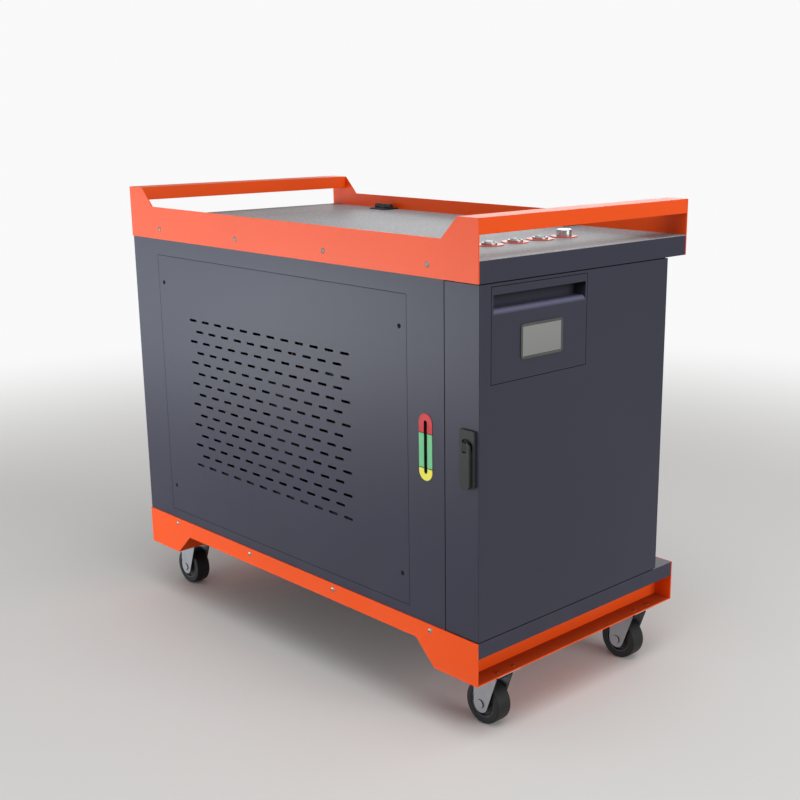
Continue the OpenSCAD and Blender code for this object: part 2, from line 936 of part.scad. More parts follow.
module front_door() {
  color(grey)
    difference() {
      span([x_left, y_front, door_low], [x_right, y_front + return_d, door_high]);
      span([inner_left, y_front + skin_t, door_low + skin_t],
        [inner_right, y_front + return_d + cut, door_high - skin_t]);
      span([inner_left, y_front + door_flange, door_low - cut],
        [inner_right, y_front + return_d + cut, door_high + cut]);
      span([surround_x - surround_gap, y_front - cut, surround_z - surround_gap],
        [surround_x + surround_w + surround_gap, y_front + skin_t + cut,
         surround_z + surround_h + surround_gap]);
      translate([0, y_front + lock_at, spindle_z])
        rod_x(x_left - cut, skin_t + 2 * cut, spindle_r + hole_gap);
    }
}

axis_x = x_right + knuckle_r + seam / 2;
axis_y = y_front + return_d + seam / 2;
knuckle_l = hinge_l / 3;

// One half of the door's hinges: s = 1 on the panel behind the axis, s = -1 on the door in front of it
module door_half(s, spans, bore) {
  y = [s * (knuckle_r + seam / 2), s * (knuckle_r + leaf_w)];
  for (h = hinge_heights)
    translate([axis_x, axis_y, frame_z + h])
      difference() {
        union() {
          span([x_right - axis_x, min(y), -hinge_l / 2], [x_right - axis_x + leaf_t, max(y), hinge_l / 2]);
          for (k = spans) {
            span([x_right - axis_x + seam / 4, min(0, y[0]), k[0]],
              [x_right - axis_x + leaf_t, max(0, y[0]), k[1]]);
            translate([0, 0, k[0]])
              cylinder(h = k[1] - k[0], r = knuckle_r);
          }
        }
        cylinder(h = 2 * hinge_l, r = bore, center = true);
      }
}

module door_hinge_bases() {
  color(steel) {
    door_half(1, [
      [-hinge_l / 2, -knuckle_l / 2 - free_fit / 2],
      [knuckle_l / 2 + free_fit / 2, hinge_l / 2]
    ], pin_r);
    for (h = hinge_heights)
      translate([axis_x, axis_y, frame_z + h])
        cylinder(h = hinge_l, r = pin_r, center = true);
  }
}

module door_hinge_leaves() {
  color(steel)
    door_half(-1, [[-knuckle_l / 2 + free_fit / 2, knuckle_l / 2 - free_fit / 2]], pin_r + run_fit);
}

// The surround's section in the YZ plane, its outer face on y = 0 and its lower edge on z = 0
module surround_section() {
  roll_z = pocket_low - pocket_roll;
  square([skin_t, roll_z]);
  translate([pocket_roll, roll_z])
    intersection() {
      difference() {
        circle(pocket_roll);
        circle(pocket_roll - skin_t);
      }
      translate([-pocket_roll, 0])
        square(pocket_roll);
    }
  translate([pocket_roll, pocket_low - skin_t])
    square([pocket_d - pocket_roll + skin_t, skin_t]);
  translate([pocket_d, pocket_low - skin_t])
    square([skin_t, pocket_h + 2 * skin_t]);
  translate([0, pocket_low + pocket_h])
    square([pocket_d + skin_t, skin_t]);
  translate([0, pocket_low + pocket_h])
    square([skin_t, surround_h - pocket_low - pocket_h]);
}

// The same section filled in, for the pocket's end walls
module surround_end() {
  translate([0, pocket_low - pocket_roll])
    square([pocket_d + skin_t, pocket_h + pocket_roll + skin_t]);
  square([skin_t, surround_h]);
}

bezel_x = surround_x + bezel_in + bezel_w / 2;
bezel_z = surround_z + bezel_up + bezel_h / 2;
housing_w = bezel_w - 2 * bezel_edge;
housing_h = bezel_h - 2 * bezel_edge;

module display_surround() {
  color(grey)
    difference() {
      union() {
        translate([surround_x, y_front, surround_z]) {
          sheet_yz(pocket_side, surround_w - 2 * pocket_side)
            surround_section();
          for (x = [0, surround_w - pocket_side])
            sheet_yz(x, pocket_side)
              square([skin_t, surround_h]);
          for (x = [pocket_side - skin_t, surround_w - pocket_side])
            sheet_yz(x, skin_t)
              surround_end();
        }
        // Lip behind the door's sheet
        sheet_xz(y_front + skin_t, skin_t)
          difference() {
            translate([surround_x - surround_lip, surround_z - surround_lip])
              square([surround_w + 2 * surround_lip, surround_h + 1.5 * surround_lip]);
            translate([surround_x + pocket_side, surround_z + surround_lip])
              square([surround_w - 2 * pocket_side, surround_h - 2 * surround_lip]);
          }
      }
      span([bezel_x - housing_w / 2 - free_fit, y_front - cut, bezel_z - housing_h / 2 - free_fit],
        [bezel_x + housing_w / 2 + free_fit, y_front + skin_t + cut, bezel_z + housing_h / 2 + free_fit]);
    }
}

module screen_housing() {
  color(black)
    difference() {
      union() {
        sheet_xz(y_front - bezel_out, bezel_out)
          translate([bezel_x, bezel_z])
            rounded_rect(bezel_w, bezel_h, bezel_r);
        sheet_xz(y_front - bezel_out / 2, housing_d)
          translate([bezel_x, bezel_z])
            square([housing_w, housing_h], center = true);
      }
      sheet_xz(y_front - bezel_out - cut, glass_t + free_fit + cut)
        translate([bezel_x, bezel_z])
          square([housing_w - 2 * free_fit, housing_h - 2 * free_fit], center = true);
    }
}

module screen_glass() {
  color([0.5, 0.5, 0.5])
    sheet_xz(y_front - bezel_out + free_fit, glass_t)
      translate([bezel_x, bezel_z])
        square([housing_w - 3 * free_fit, housing_h - 3 * free_fit], center = true);
}

lock_face = x_left - lock_t;
lock_mid_z = frame_z + lock_low_h + lock_l / 2;
plate_corner_r = 3;

module lock_plate() {
  color(black)
    difference() {
      sheet_yz(lock_face, lock_t)
        translate([y_front + lock_at, lock_mid_z])
          rounded_rect(lock_w, lock_l, plate_corner_r);
      translate([0, y_front + lock_at, spindle_z]) {
        rod_x(lock_face - cut, recess_d + cut, recess_r);
        rod_x(lock_face - cut, lock_t + 2 * cut, spindle_r + run_fit);
      }
    }
}

lug_w = 8;
lug_h = 14;
pivot_x = lock_face - lever_t / 2 - free_fit;
pivot_up = 3;
lug_gap = 2;

// The spindle with its flange and lug outside, and its hook cam behind the door's folded side
module lock_spindle() {
  flange_t = 1;
  flange_in = 2;
  color(steel)
    translate([0, y_front + lock_at, spindle_z])
      difference() {
        union() {
          rod_x(lock_face + recess_d - free_fit, cam_x + cam_t - lock_face - recess_d + free_fit, spindle_r);
          rod_x(lock_face + recess_d - free_fit - flange_t, flange_t, recess_r - flange_in);
          span([lock_face - lever_t - free_fit, -lug_w / 2, -lug_h / 2],
            [lock_face + recess_d - free_fit, lug_w / 2, lug_h / 2]);
          sheet_yz(cam_x, cam_t) {
            circle(cam_w / 2 + flange_in);
            translate([-cam_w / 2, -cam_l])
              square([cam_w, cam_l]);
            translate([-cam_w / 2, -cam_l - cam_w / 2])
              square([1.5 * cam_w + 2 * keeper_r, cam_w / 2]);
          }
        }
        translate([pivot_x, 0, pivot_up])
          rod_y(-lug_w, 2 * lug_w, lever_pin_r + run_fit);
      }
}

module lock_lever() {
  slot_h = lug_h + 2 * lug_gap;
  pin_l = lever_w - 2 * lug_gap;
  x_low = lock_face - lever_t - free_fit;
  color(black)
    translate([0, y_front + lock_at, spindle_z]) {
      difference() {
        sheet_yz(x_low, lever_t) {
          circle(lever_w / 2);
          translate([-lever_w / 2, lever_w / 2 - lever_l])
            square([lever_w, lever_l - lever_w / 2]);
          translate([0, lever_w / 2 - lever_l])
            circle(lever_w / 2);
        }
        span([x_low - cut, -lug_w / 2 - free_fit, -slot_h / 2],
          [x_low + lever_t + cut, lug_w / 2 + free_fit, lever_w]);
        // Bevel that lets the upper end dip as the lever lifts
        translate([lock_face - free_fit, 0, pivot_up])
          rotate([0, -30, 0])
            span([0, -lever_w, 0], [lever_w, lever_w, lever_w]);
      }
      translate([pivot_x, 0, pivot_up])
        rod_y(-pin_l / 2, pin_l, lever_pin_r);
    }
}

module control_collars() {
  color(orange)
    for (i = [0:4])
      at_control(i)
        difference() {
          cylinder(h = collar_t, r = collar_r);
          translate([0, 0, -cut])
            cylinder(h = collar_t + 2 * cut, r = control_hole_r);
        }
}

cap_guide = 8;
cap_well = cap_travel + cap_guide;

// Five switch bodies: barrel through the cover, bezel on the collar, contact block below
module switch_bodies() {
  color(steel)
    for (i = [0:4])
      at_control(i) {
        top = collar_t + (i == 0 || i == 4 ? ring_h / 2 : ring_h);
        difference() {
          union() {
            translate([0, 0, -barrel_l])
              cylinder(h = barrel_l + top, r = barrel_r);
            translate([0, 0, collar_t])
              cylinder(h = top - collar_t, r = ring_r);
            translate([-block_w / 2, -block_w / 2, -barrel_l - block_h])
              cube([block_w, block_w, block_h]);
          }
          translate([0, 0, top - cap_well])
            cylinder(h = cap_well + cut, r = cap_r + slide_fit);
        }
      }
}

// A push button with a domed cap, in its well
module push_button(i, tone) {
  top = collar_t + ring_h;
  foot = top - cap_well + cap_travel + free_fit;
  dome_h = cap_out / 2;
  dome_r = (cap_r * cap_r + dome_h * dome_h) / (2 * dome_h);
  color(tone)
    at_control(i) {
      translate([0, 0, foot])
        cylinder(h = top + dome_h - foot, r = cap_r);
      translate([0, 0, top + dome_h])
        intersection() {
          translate([0, 0, dome_h - dome_r])
            sphere(dome_r);
          cylinder(h = dome_h, r = cap_r);
        }
    }
}

// The mushroom head and stem of the emergency stop
module stop_button() {
  edge_r = 4;
  foot = collar_t + ring_h / 2 - cap_well + stop_travel + free_fit;
  color([0.8, 0.1, 0.1])
    at_control(0)
      rotate_extrude()
        union() {
          translate([0, foot])
            square([cap_r, stop_h - foot]);
          translate([0, stop_h - stop_head_h])
            square([stop_r, stop_head_h - edge_r]);
          translate([0, stop_h - edge_r])
            square([stop_r - edge_r, edge_r]);
          intersection() {
            translate([stop_r - edge_r, stop_h - edge_r])
              circle(edge_r);
            translate([0, stop_h - stop_head_h])
              square([stop_r, stop_head_h]);
          }
        }
}

// The key switch's turning barrel with its keyway
module key_barrel() {
  top = collar_t + ring_h / 2 + free_fit;
  key_w = 3;
  bevel = 1;
  color(steel)
    at_control(4)
      difference() {
        union() {
          translate([0, 0, top - cap_well + free_fit])
            cylinder(h = cap_well, r = cap_r);
          translate([0, 0, top])
            cylinder(h = key_h - bevel, r = key_r);
          translate([0, 0, top + key_h - bevel])
            cylinder(h = bevel, r1 = key_r, r2 = key_r - bevel);
        }
        translate([-key_w / 2, -cap_r / 2, top + key_h / 2])
          cube([key_w, cap_r, key_h]);
      }
}

fork_z = -top_plate_t - bearing_h - slide_fit;
axle_z = wheel_r - frame_z;
cheek_x = wheel_w / 2 + wheel_gap;

// Top plates with the bearing race and kingpin
module caster_plates() {
  nut_h = 3;
  color(steel)
    at_casters() {
      difference() {
        translate([-top_plate_w / 2, -top_plate_l / 2, -top_plate_t])
          cube([top_plate_w, top_plate_l, top_plate_t]);
        at_bolts()
          cylinder(h = 3 * top_plate_t, r = shank_r + hole_gap, center = true);
      }
      translate([0, 0, -top_plate_t - bearing_h])
        cylinder(h = bearing_h, r = bearing_r);
      translate([0, 0, fork_z - cheek_t - slide_fit - nut_h]) {
        cylinder(h = bearing_h + cheek_t + nut_h, r = kingpin_r);
        cylinder(h = nut_h, r = 1.6 * kingpin_r);
      }
    }
}

// Point where the line from p touches the circle about c with radius r, on side s
function touch(p, c, r, s) =
  let (d = p - c, l = norm(d), a = atan2(d[1], d[0]) + s * acos(r / l))
  c + r * [cos(a), sin(a)];

// A cheek's outline: straight at the back, slanted at the front, round about the axle
module cheek_outline() {
  axle = [trail, axle_z];
  front = [-fork_head_r, fork_z - cheek_t];
  polygon([
    [-fork_head_r, fork_z],
    front,
    touch(front, axle, cheek_r, 1),
    axle,
    [trail + cheek_r, axle_z],
    [trail + cheek_r, fork_z]
  ]);
  translate(axle)
    circle(cheek_r);
}

module fork(x, y) {
  color(steel)
    translate([x * caster_x, y * (overall_l / 2 - caster_in), frame_z]) {
      difference() {
        union() {
          for (s = [-cheek_x - cheek_t, cheek_x])
            sheet_yz(s, cheek_t)
              cheek_outline();
          translate([-cheek_x, -fork_head_r, fork_z - cheek_t])
            cube([2 * cheek_x, fork_head_r + trail + cheek_r, cheek_t]);
        }
        translate([0, 0, fork_z - 2 * cheek_t])
          cylinder(h = 3 * cheek_t, r = kingpin_r + run_fit);
        translate([0, trail, axle_z])
          rod_x(-cheek_x - 2 * cheek_t, 2 * cheek_x + 4 * cheek_t, axle_r);
      }
      // Axle bolt with its head and nut
      translate([0, trail, axle_z]) {
        rod_x(-cheek_x - cheek_t, 2 * cheek_x + 2 * cheek_t, axle_r);
        rod_x(-cheek_x - cheek_t - axle_r / 2, axle_r / 2, 1.6 * axle_r);
        rod_x(cheek_x + cheek_t, axle_r / 2, 1.6 * axle_r);
      }
    }
}

// A wheel's half section: axle bore, recessed hub, crowned tread with a groove
module wheel_section() {
  half = wheel_w / 2;
  crown = 2;
  groove = 0.8;
  recess = 5;
  boss_r = 11;
  polygon([
    [axle_r + run_fit, -half], [boss_r, -half], [boss_r, -half + recess],
    [hub_recess_r, -half + recess], [hub_recess_r, -half], [wheel_r - 2 * crown, -half],
    [wheel_r - crown / 2, -half + crown], [wheel_r, -half / 3],
    [wheel_r, -groove], [wheel_r - groove, 0], [wheel_r, groove],
    [wheel_r, half / 3], [wheel_r - crown / 2, half - crown],
    [wheel_r - 2 * crown, half], [hub_recess_r, half], [hub_recess_r, half - recess],
    [boss_r, half - recess], [boss_r, half], [axle_r + run_fit, half]
  ]);
}

module wheel(x, y) {
  color(black)
    translate([x * caster_x, y * (overall_l / 2 - caster_in) + trail, frame_z + axle_z])
      rotate([0, 90, 0])
        rotate_extrude()
          wheel_section();
}

shelf_z = frame_z + shelf_h;
hose_x = 0;
return_x = -60;
hose_reach = 27;
hose_y = y_front + laser_first - hose_reach;
hose_wall = 2;
stub_r = hose_r - hose_wall;

// The shelf on the frame's rails, with pass holes for the two hoses
module equipment_shelf() {
  x_low = inner_left + pan_t + pan_t / 2;
  x_high = inner_right - pan_t - pan_t / 2;
  y_low = y_post + post_w + free_fit;
  y_high = inner_rear - post_w - free_fit;
  color(cover_grey)
    difference() {
      union() {
        span([x_low, y_low, shelf_z - pan_t], [x_high, y_high, shelf_z]);
        for (y = [y_low, y_high - pan_t])
          span([x_low + post_w, y, shelf_z - shelf_rail_h],
            [x_high - post_w, y + pan_t, shelf_z]);
      }
      for (x = [hose_x, return_x])
        translate([x, hose_y, shelf_z])
          cylinder(h = 4 * pan_t, r = 1.5 * hose_r, center = true);
    }
}

port_z = z_pan + laser_foot_h + laser_size[2] / 2;
port_y = y_front + laser_first;
port_l = 8;

// The fibre laser source: a closed case with its lid lip, feet, water ports and fibre outlet
module laser_source() {
  x0 = body_cx - laser_size[0] / 2;
  y0 = port_y;
  z0 = z_pan + laser_foot_h;
  foot_r = 14;
  foot_in = 40;
  lip = 4;
  fibre_x = 90;
  fibre_r = 12;
  color(bare_metal) {
    span([x0, y0, z0], [x0 + laser_size[0], y0 + laser_size[1], z0 + laser_size[2] - lip]);
    span([x0 - lip / 2, y0 - lip / 2, z0 + laser_size[2] - lip],
      [x0 + laser_size[0] + lip / 2, y0 + laser_size[1] + lip / 2, z0 + laser_size[2]]);
    for (x = [foot_in, laser_size[0] - foot_in], y = [foot_in, laser_size[1] - foot_in])
      translate([x0 + x, y0 + y, z_pan])
        cylinder(h = laser_foot_h, r = foot_r);
    for (x = [hose_x, return_x])
      translate([x, 0, port_z])
        rod_y(y0 - port_l, port_l, stub_r);
    translate([hose_x + fibre_x, 0, port_z])
      rod_y(y0 - 3 * port_l, 3 * port_l, fibre_r);
  }
}

tank_y = y_front + tank_first;
tank_top = shelf_z + tank_size[2];
tank_rib = 3;
neck_x = tank_x + tank_size[0] / 2;
neck_share = 0.7;
neck_y = tank_y + neck_share * tank_size[1];

// The water tank with ribs, filler neck and the stub for the return hose
module water_tank() {
  rib_shares = [0.25, 0.5, 0.75];
  bore_r = neck_r - tank_rib;
  color([0.85, 0.87, 0.88])
    difference() {
      union() {
        span([tank_x, tank_y, shelf_z],
          [tank_x + tank_size[0] - tank_rib, tank_y + tank_size[1] - tank_rib, tank_top]);
        for (s = rib_shares)
          span([tank_x, tank_y, shelf_z + s * tank_size[2] - tank_rib],
            [tank_x + tank_size[0], tank_y + tank_size[1], shelf_z + s * tank_size[2] + tank_rib]);
        translate([neck_x, neck_y, tank_top])
          cylinder(h = neck_h, r = neck_r);
      }
      translate([neck_x, neck_y, tank_top - neck_h])
        cylinder(h = 3 * neck_h, r = bore_r);
    }
}

module tank_cap() {
  cap_wall = 3;
  grip_count = 12;
  grip_r = 3;
  z0 = tank_top + free_fit;
  color(black)
    translate([neck_x, neck_y, z0])
      difference() {
        cylinder(h = neck_h + cap_wall, r = tank_cap_r);
        translate([0, 0, -cut])
          cylinder(h = neck_h + cut - free_fit, r = neck_r + run_fit);
        for (i = [0:grip_count - 1])
          rotate(i * 360 / grip_count)
            translate([tank_cap_r + grip_r / 3, 0, -cut])
              cylinder(h = neck_h + cap_wall + 2 * cut, r = grip_r);
      }
}

pump_r = 46;
pump_axis_h = 62;
pump_z = shelf_z + pump_axis_h;
pump_at = 90;
pump_y = tank_y + pump_at;
volute_l = 34;
volute_rim = 6;
outlet_in = 22;
volute_x = hose_x - outlet_in;
motor_l = 120;
stub_l = 14;

// The pump: volute with inlet and outlet, motor with cooling fins, and its foot
module pump() {
  fin_count = 8;
  fin_t = 3;
  motor_in = 8;
  foot_in = 10;
  motor_x = volute_x + volute_l;
  color(dark_grey)
    translate([0, pump_y, pump_z]) {
      rod_x(volute_x, volute_l, pump_r + volute_rim);
      rod_x(volute_x - stub_l, stub_l, stub_r);
      translate([hose_x, 0, 0])
        cylinder(h = pump_r + volute_rim + stub_l, r = stub_r);
      rod_x(motor_x, motor_l, pump_r - motor_in);
      for (i = [0:fin_count - 1])
        rod_x(motor_x + (i + 0.5) * motor_l / (fin_count + 1), fin_t, pump_r);
      span([motor_x + foot_in, volute_rim - pump_r, shelf_z - pump_z],
        [motor_x + motor_l - foot_in, pump_r - volute_rim, -pump_r / 2]);
    }
}

compressor_foot_h = 14;

// The hermetic compressor: domed shell with its weld flange, feet, terminal box and stubs
module compressor() {
  foot_r = 9;
  foot_in = 10;
  dome = 30;
  flange = 4;
  base_t = 6;
  box = [40, 26, 60];
  dome_r = (compressor_r * compressor_r + dome * dome) / (2 * dome);
  z0 = shelf_z + compressor_foot_h;
  color(black)
    translate([compressor_x, y_front + compressor_at, 0]) {
      translate([0, 0, z0 + base_t])
        cylinder(h = compressor_h - dome - base_t, r = compressor_r);
      translate([0, 0, z0 + compressor_h - dome])
        intersection() {
          translate([0, 0, dome - dome_r])
            sphere(dome_r);
          cylinder(h = dome, r = compressor_r);
        }
      translate([0, 0, z0 + compressor_h - 2 * dome])
        cylinder(h = flange, r = compressor_r + flange);
      translate([-compressor_r, -compressor_r, z0])
        cube([2 * compressor_r, 2 * compressor_r, base_t]);
      for (x = [-1, 1], y = [-1, 1])
        translate([x * (compressor_r - foot_in), y * (compressor_r - foot_in), shelf_z])
          cylinder(h = compressor_foot_h, r = foot_r);
      translate([compressor_r - base_t, -box[1] / 2, z0 + compressor_h / 3])
        cube(box);
    }
}

// The condenser: side plates, fins and the ends of its tubes
module condenser() {
  fin_count = 24;
  fin_t = 1;
  fin_in = 2;
  tube_rows = 8;
  tube_out = 4;
  leg_w = 20;
  side_t = 3;
  w = condenser_size[0];
  d = condenser_size[1];
  h = condenser_size[2];
  z0 = z_fan - h / 2;
  color(bare_metal)
    translate([fan_x - w / 2, y_front + condenser_at, z0]) {
      for (x = [0, w - side_t])
        translate([x, 0, 0])
          cube([side_t, d, h]);
      for (z = [0, h - side_t])
        translate([0, 0, z])
          cube([w, d, side_t]);
      for (i = [1:fin_count - 1])
        translate([i * w / fin_count, fin_in, side_t])
          cube([fin_t, d - 2 * fin_in, h - 2 * side_t]);
      for (i = [0:tube_rows - 1])
        translate([0, d / 2, (i + 0.5) * h / tube_rows])
          rod_x(-tube_out, w + 2 * tube_out, pipe_r);
    }
  // Legs down to the shelf
  color(bare_metal)
    for (x = [fan_x - w / 2, fan_x + w / 2 - leg_w])
      span([x, y_front + condenser_at, shelf_z], [x + leg_w, y_front + condenser_at + d, z0]);
}

duct_y = y_front + condenser_at + condenser_size[1];
orifice_in = 46;
orifice_y = inner_rear - orifice_in;
motor_in = 58;
motor_y = orifice_y - motor_in;
motor_r = 40;
motor_d = 36;
shaft_r = 6;

// The shroud: a square duct to the rear panel with its round orifice, and the fan's motor
module fan_shroud() {
  w = condenser_size[0];
  h = condenser_size[2];
  orifice_r = fan_r + orifice_gap;
  collar_d = 24;
  strut_w = 14;
  color(dark_grey)
    difference() {
      translate([fan_x, 0, z_fan])
        union() {
          sheet_xz(duct_y, inner_rear - duct_y)
            difference() {
              square([w, h], center = true);
              square([w - 2 * pan_t, h - 2 * pan_t], center = true);
            }
          sheet_xz(orifice_y, pan_t)
            difference() {
              square([w, h], center = true);
              circle(orifice_r);
            }
          sheet_xz(orifice_y - collar_d, collar_d)
            difference() {
              circle(orifice_r + pan_t);
              circle(orifice_r);
            }
          sheet_xz(motor_y, pan_t)
            for (a = [0, 90])
              rotate(a)
                square([(a == 0 ? w : h) - pan_t, strut_w], center = true);
          rod_y(motor_y, motor_d, motor_r);
        }
      translate([fan_x, 0, z_fan])
        rod_y(motor_y - cut, motor_d + 2 * cut, shaft_r + run_fit);
    }
}

// The fan rotor: hub, shaft, and blades cut from a curved shell so that they are cambered
module fan_rotor() {
  hub_d = 30;
  hub_gap = 4;
  hub_y = motor_y + motor_d + hub_gap;
  blade_d = 26;
  blade_in = 2;
  tip_sweep = 30;
  root_sweep = 22;
  pitch_angle = 24;
  reach = 1.2 * fan_r;
  color(black)
    translate([fan_x, 0, z_fan]) {
      rod_y(hub_y, hub_d, hub_r);
      rod_y(motor_y + blade_in, hub_y - motor_y, shaft_r);
      for (i = [0:blade_count - 1])
        rotate([0, i * 360 / blade_count, 0])
          intersection() {
            // The shell: a tube whose axis runs outwards, leaned to the blade's pitch
            translate([0, hub_y + hub_d / 2, 0])
              rotate([0, 0, pitch_angle])
                translate([0, -blade_curve_r, 0])
                  difference() {
                    cylinder(h = fan_r + cut, r = blade_curve_r + blade_t / 2);
                    translate([0, 0, -cut])
                      cylinder(h = fan_r + 3 * cut, r = blade_curve_r - blade_t / 2);
                  }
            // The blade's outline as seen along the shaft
            sheet_xz(hub_y + blade_in, blade_d)
              intersection() {
                difference() {
                  circle(fan_r);
                  circle(hub_r - blade_in);
                }
                polygon([
                  [0, 0],
                  reach * [-sin(root_sweep), cos(root_sweep)],
                  [0, reach],
                  reach * [sin(tip_sweep), cos(tip_sweep)]
                ]);
              }
          }
    }
}

// The refrigerant circuit: compressor to condenser, through the drier to the tank's coil, and back
module refrigerant_pipes() {
  bend = 18;
  sink = 4;
  cy = y_front + compressor_at;
  top_z = shelf_z + compressor_foot_h + compressor_h;
  cond_y = y_front + condenser_at;
  cond_dx = 10;
  cond_x = fan_x + cond_dx;
  high_in = 60;
  high_z = z_fan + condenser_size[2] / 2 - high_in;
  low_in = 40;
  low_z = z_fan - condenser_size[2] / 2 + low_in;
  coil_in = 40;
  coil_x = tank_x + coil_in;
  coil_h = 200;
  coil_z = shelf_z + coil_h;
  cross_in = 140;
  cross_y = cy - cross_in;
  tank_rear = tank_y + tank_size[1] - tank_rib;
  drier_r = 13;
  drier_l = 90;
  drier_at = 100;
  suction_dx = 30;
  suction_x = coil_x + suction_dx;
  suction_up = 35;
  suction_r = 7;
  color(copper) {
    pipe([
      [compressor_x, cy, top_z - sink],
      [compressor_x, cy, high_z],
      [compressor_x, cond_y, high_z]
    ], pipe_r, bend);
    pipe([
      [cond_x, cond_y, low_z],
      [cond_x, cross_y, low_z],
      [cond_x, cross_y, coil_z],
      [coil_x, cross_y, coil_z],
      [coil_x, tank_rear, coil_z]
    ], pipe_r, bend);
    translate([cond_x, 0, low_z])
      rod_y(cy + drier_at, drier_l, drier_r);
    pipe([
      [suction_x, tank_rear, top_z + suction_up],
      [suction_x, cy, top_z + suction_up],
      [suction_x, cy, top_z - 3 * sink]
    ], suction_r, bend);
  }
}

// Hoses: tank to pump, pump down to the laser source, and the return to the tank
module water_hoses() {
  bend = 12;
  outlet_z = pump_z + pump_r + volute_rim;
  rise = 60;
  high_z = outlet_z + rise;
  return_up = 32;
  return_z = tank_top + return_up;
  return_in_w = 30;
  return_in_l = 50;
  return_in_x = tank_x + tank_size[0] - return_in_w;
  return_in_y = tank_y + tank_size[1] - return_in_l;
  color([0.2, 0.3, 0.55]) {
    difference() {
      pipe([[tank_x + tank_size[0] - tank_rib, pump_y, pump_z], [volute_x, pump_y, pump_z]], hose_r, bend);
      translate([0, pump_y, pump_z])
        rod_x(volute_x - stub_l, stub_l + cut, stub_r);
    }
    difference() {
      pipe([
        [hose_x, pump_y, outlet_z],
        [hose_x, pump_y, high_z],
        [hose_x, hose_y, high_z],
        [hose_x, hose_y, port_z],
        [hose_x, port_y, port_z]
      ], hose_r, bend);
      translate([hose_x, pump_y, outlet_z - cut])
        cylinder(h = stub_l + cut, r = stub_r);
      translate([hose_x, 0, port_z])
        rod_y(port_y - port_l, port_l + cut, stub_r);
    }
    difference() {
      pipe([
        [return_x, port_y, port_z],
        [return_x, hose_y, port_z],
        [return_x, hose_y, return_z],
        [return_in_x, hose_y, return_z],
        [return_in_x, return_in_y, return_z],
        [return_in_x, return_in_y, tank_top]
      ], hose_r, bend);
      translate([return_x, 0, port_z])
        rod_y(port_y - port_l, port_l + cut, stub_r);
    }
  }
}

// Two power supplies with perforated cases and terminal strips
module power_supplies() {
  case_w = 50;
  case_l = 215;
  case_h = 115;
  size = [case_w, case_l, case_h];
  at = 400;
  side_in = 24;
  gap = 12;
  hole_r = 3;
  hole_d = 2;
  strip = 14;
  color(bare_metal)
    for (i = [0, 1])
      translate([inner_right - side_in - (i + 1) * size[0] - i * gap, y_front + at, shelf_z])
        difference() {
          cube(size);
          translate([-cut, -cut, -cut])
            cube([size[0] + 2 * cut, strip + cut, strip + cut]);
          for (y = [2:9], z = [2:5])
            translate([0, y * size[1] / 11, z * size[2] / 7])
              rod_x(-cut, hole_d + cut, hole_r);
        }
}

// The control board on pillars behind the door, its chips as places and sizes in shares of the board
module control_board() {
  w = 170;
  h = 110;
  drop = 130;
  pillar_l = 12;
  pillar_r = 3;
  board_t = 1.6;
  inset = 8;
  y0 = y_front + skin_t;
  chip_shares = [
    [0.12, 0.11, 0.14, 0.13, 0.13], [0.33, 0.11, 0.14, 0.13, 0.13], [0.54, 0.11, 0.14, 0.13, 0.13],
    [0.75, 0.11, 0.14, 0.13, 0.13], [0.29, 0.45, 0.18, 0.27, 0.05], [0.59, 0.40, 0.24, 0.31, 0.20]
  ];
  color([0.1, 0.4, 0.25])
    translate([bezel_x + bezel_w, 0, surround_z - drop]) {
      sheet_xz(y0 + pillar_l, board_t)
        square([w, h]);
      for (x = [inset, w - inset], z = [inset, h - inset])
        translate([x, 0, z])
          rod_y(y0, pillar_l, pillar_r);
      for (c = chip_shares)
        translate([c[0] * w, y0 + pillar_l, c[1] * h])
          cube([c[2] * w, c[4] * h, c[3] * h]);
    }
}

// A hexagon along Y from y to y + l, r over its corners
module hex_y(y, l, r) {
  rod_y(y, l, r, $fn = 6);
}

// A gland through the rear panel: barrel, inside nut, outer hexagon and clamping dome
module gland(x, bore, wall) {
  hex_out = 8;
  hex_d = 6;
  nut_d = 6;
  tail = 14;
  dome_d = 9;
  dome_out = 3;
  translate([x, 0, frame_z + fitting_h])
    difference() {
      union() {
        rod_y(inner_rear - tail, tail + skin_t, bore + wall);
        hex_y(inner_rear - nut_d, nut_d, bore + wall + hex_out);
        hex_y(y_rear, hex_d, bore + wall + hex_out);
        rod_y(y_rear + hex_d, dome_d, bore + wall + dome_out);
      }
      rod_y(inner_rear - tail - cut, tail + skin_t + hex_d + dome_d + 2 * cut, bore);
    }
}
module cable_glands() {
  color(black) {
    gland(torch_gland_x, torch_bore_r, torch_wall);
    gland(mains_gland_x, mains_bore_r, mains_wall);
  }
}

// The gas inlet's push-in fitting and the drain's plug, whose bore stays closed at the outer end
module pipe_fittings() {
  r = gas_bore_r + fitting_wall;
  hex_out = 4;
  hex_d = 7;
  nut_d = 5;
  tail = 12;
  nose = 8;
  bore_l = tail + skin_t + hex_d + cut;
  color([0.78, 0.62, 0.3])
    for (x = [gas_x, drain_x])
      translate([x, 0, frame_z + fitting_h])
        difference() {
          union() {
            rod_y(inner_rear - tail, tail + skin_t, r);
            hex_y(inner_rear - nut_d, nut_d, r + hex_out);
            hex_y(y_rear, hex_d, r + hex_out);
            rod_y(y_rear + hex_d, nose, r + hex_out / 4);
          }
          rod_y(inner_rear - tail - cut, bore_l + (x == gas_x ? nose + cut : 0), gas_bore_r);
        }
}

breaker_z = frame_z + fitting_h;
breaker_d = 62;
toggle_r = 9;
toggle_w = 30;

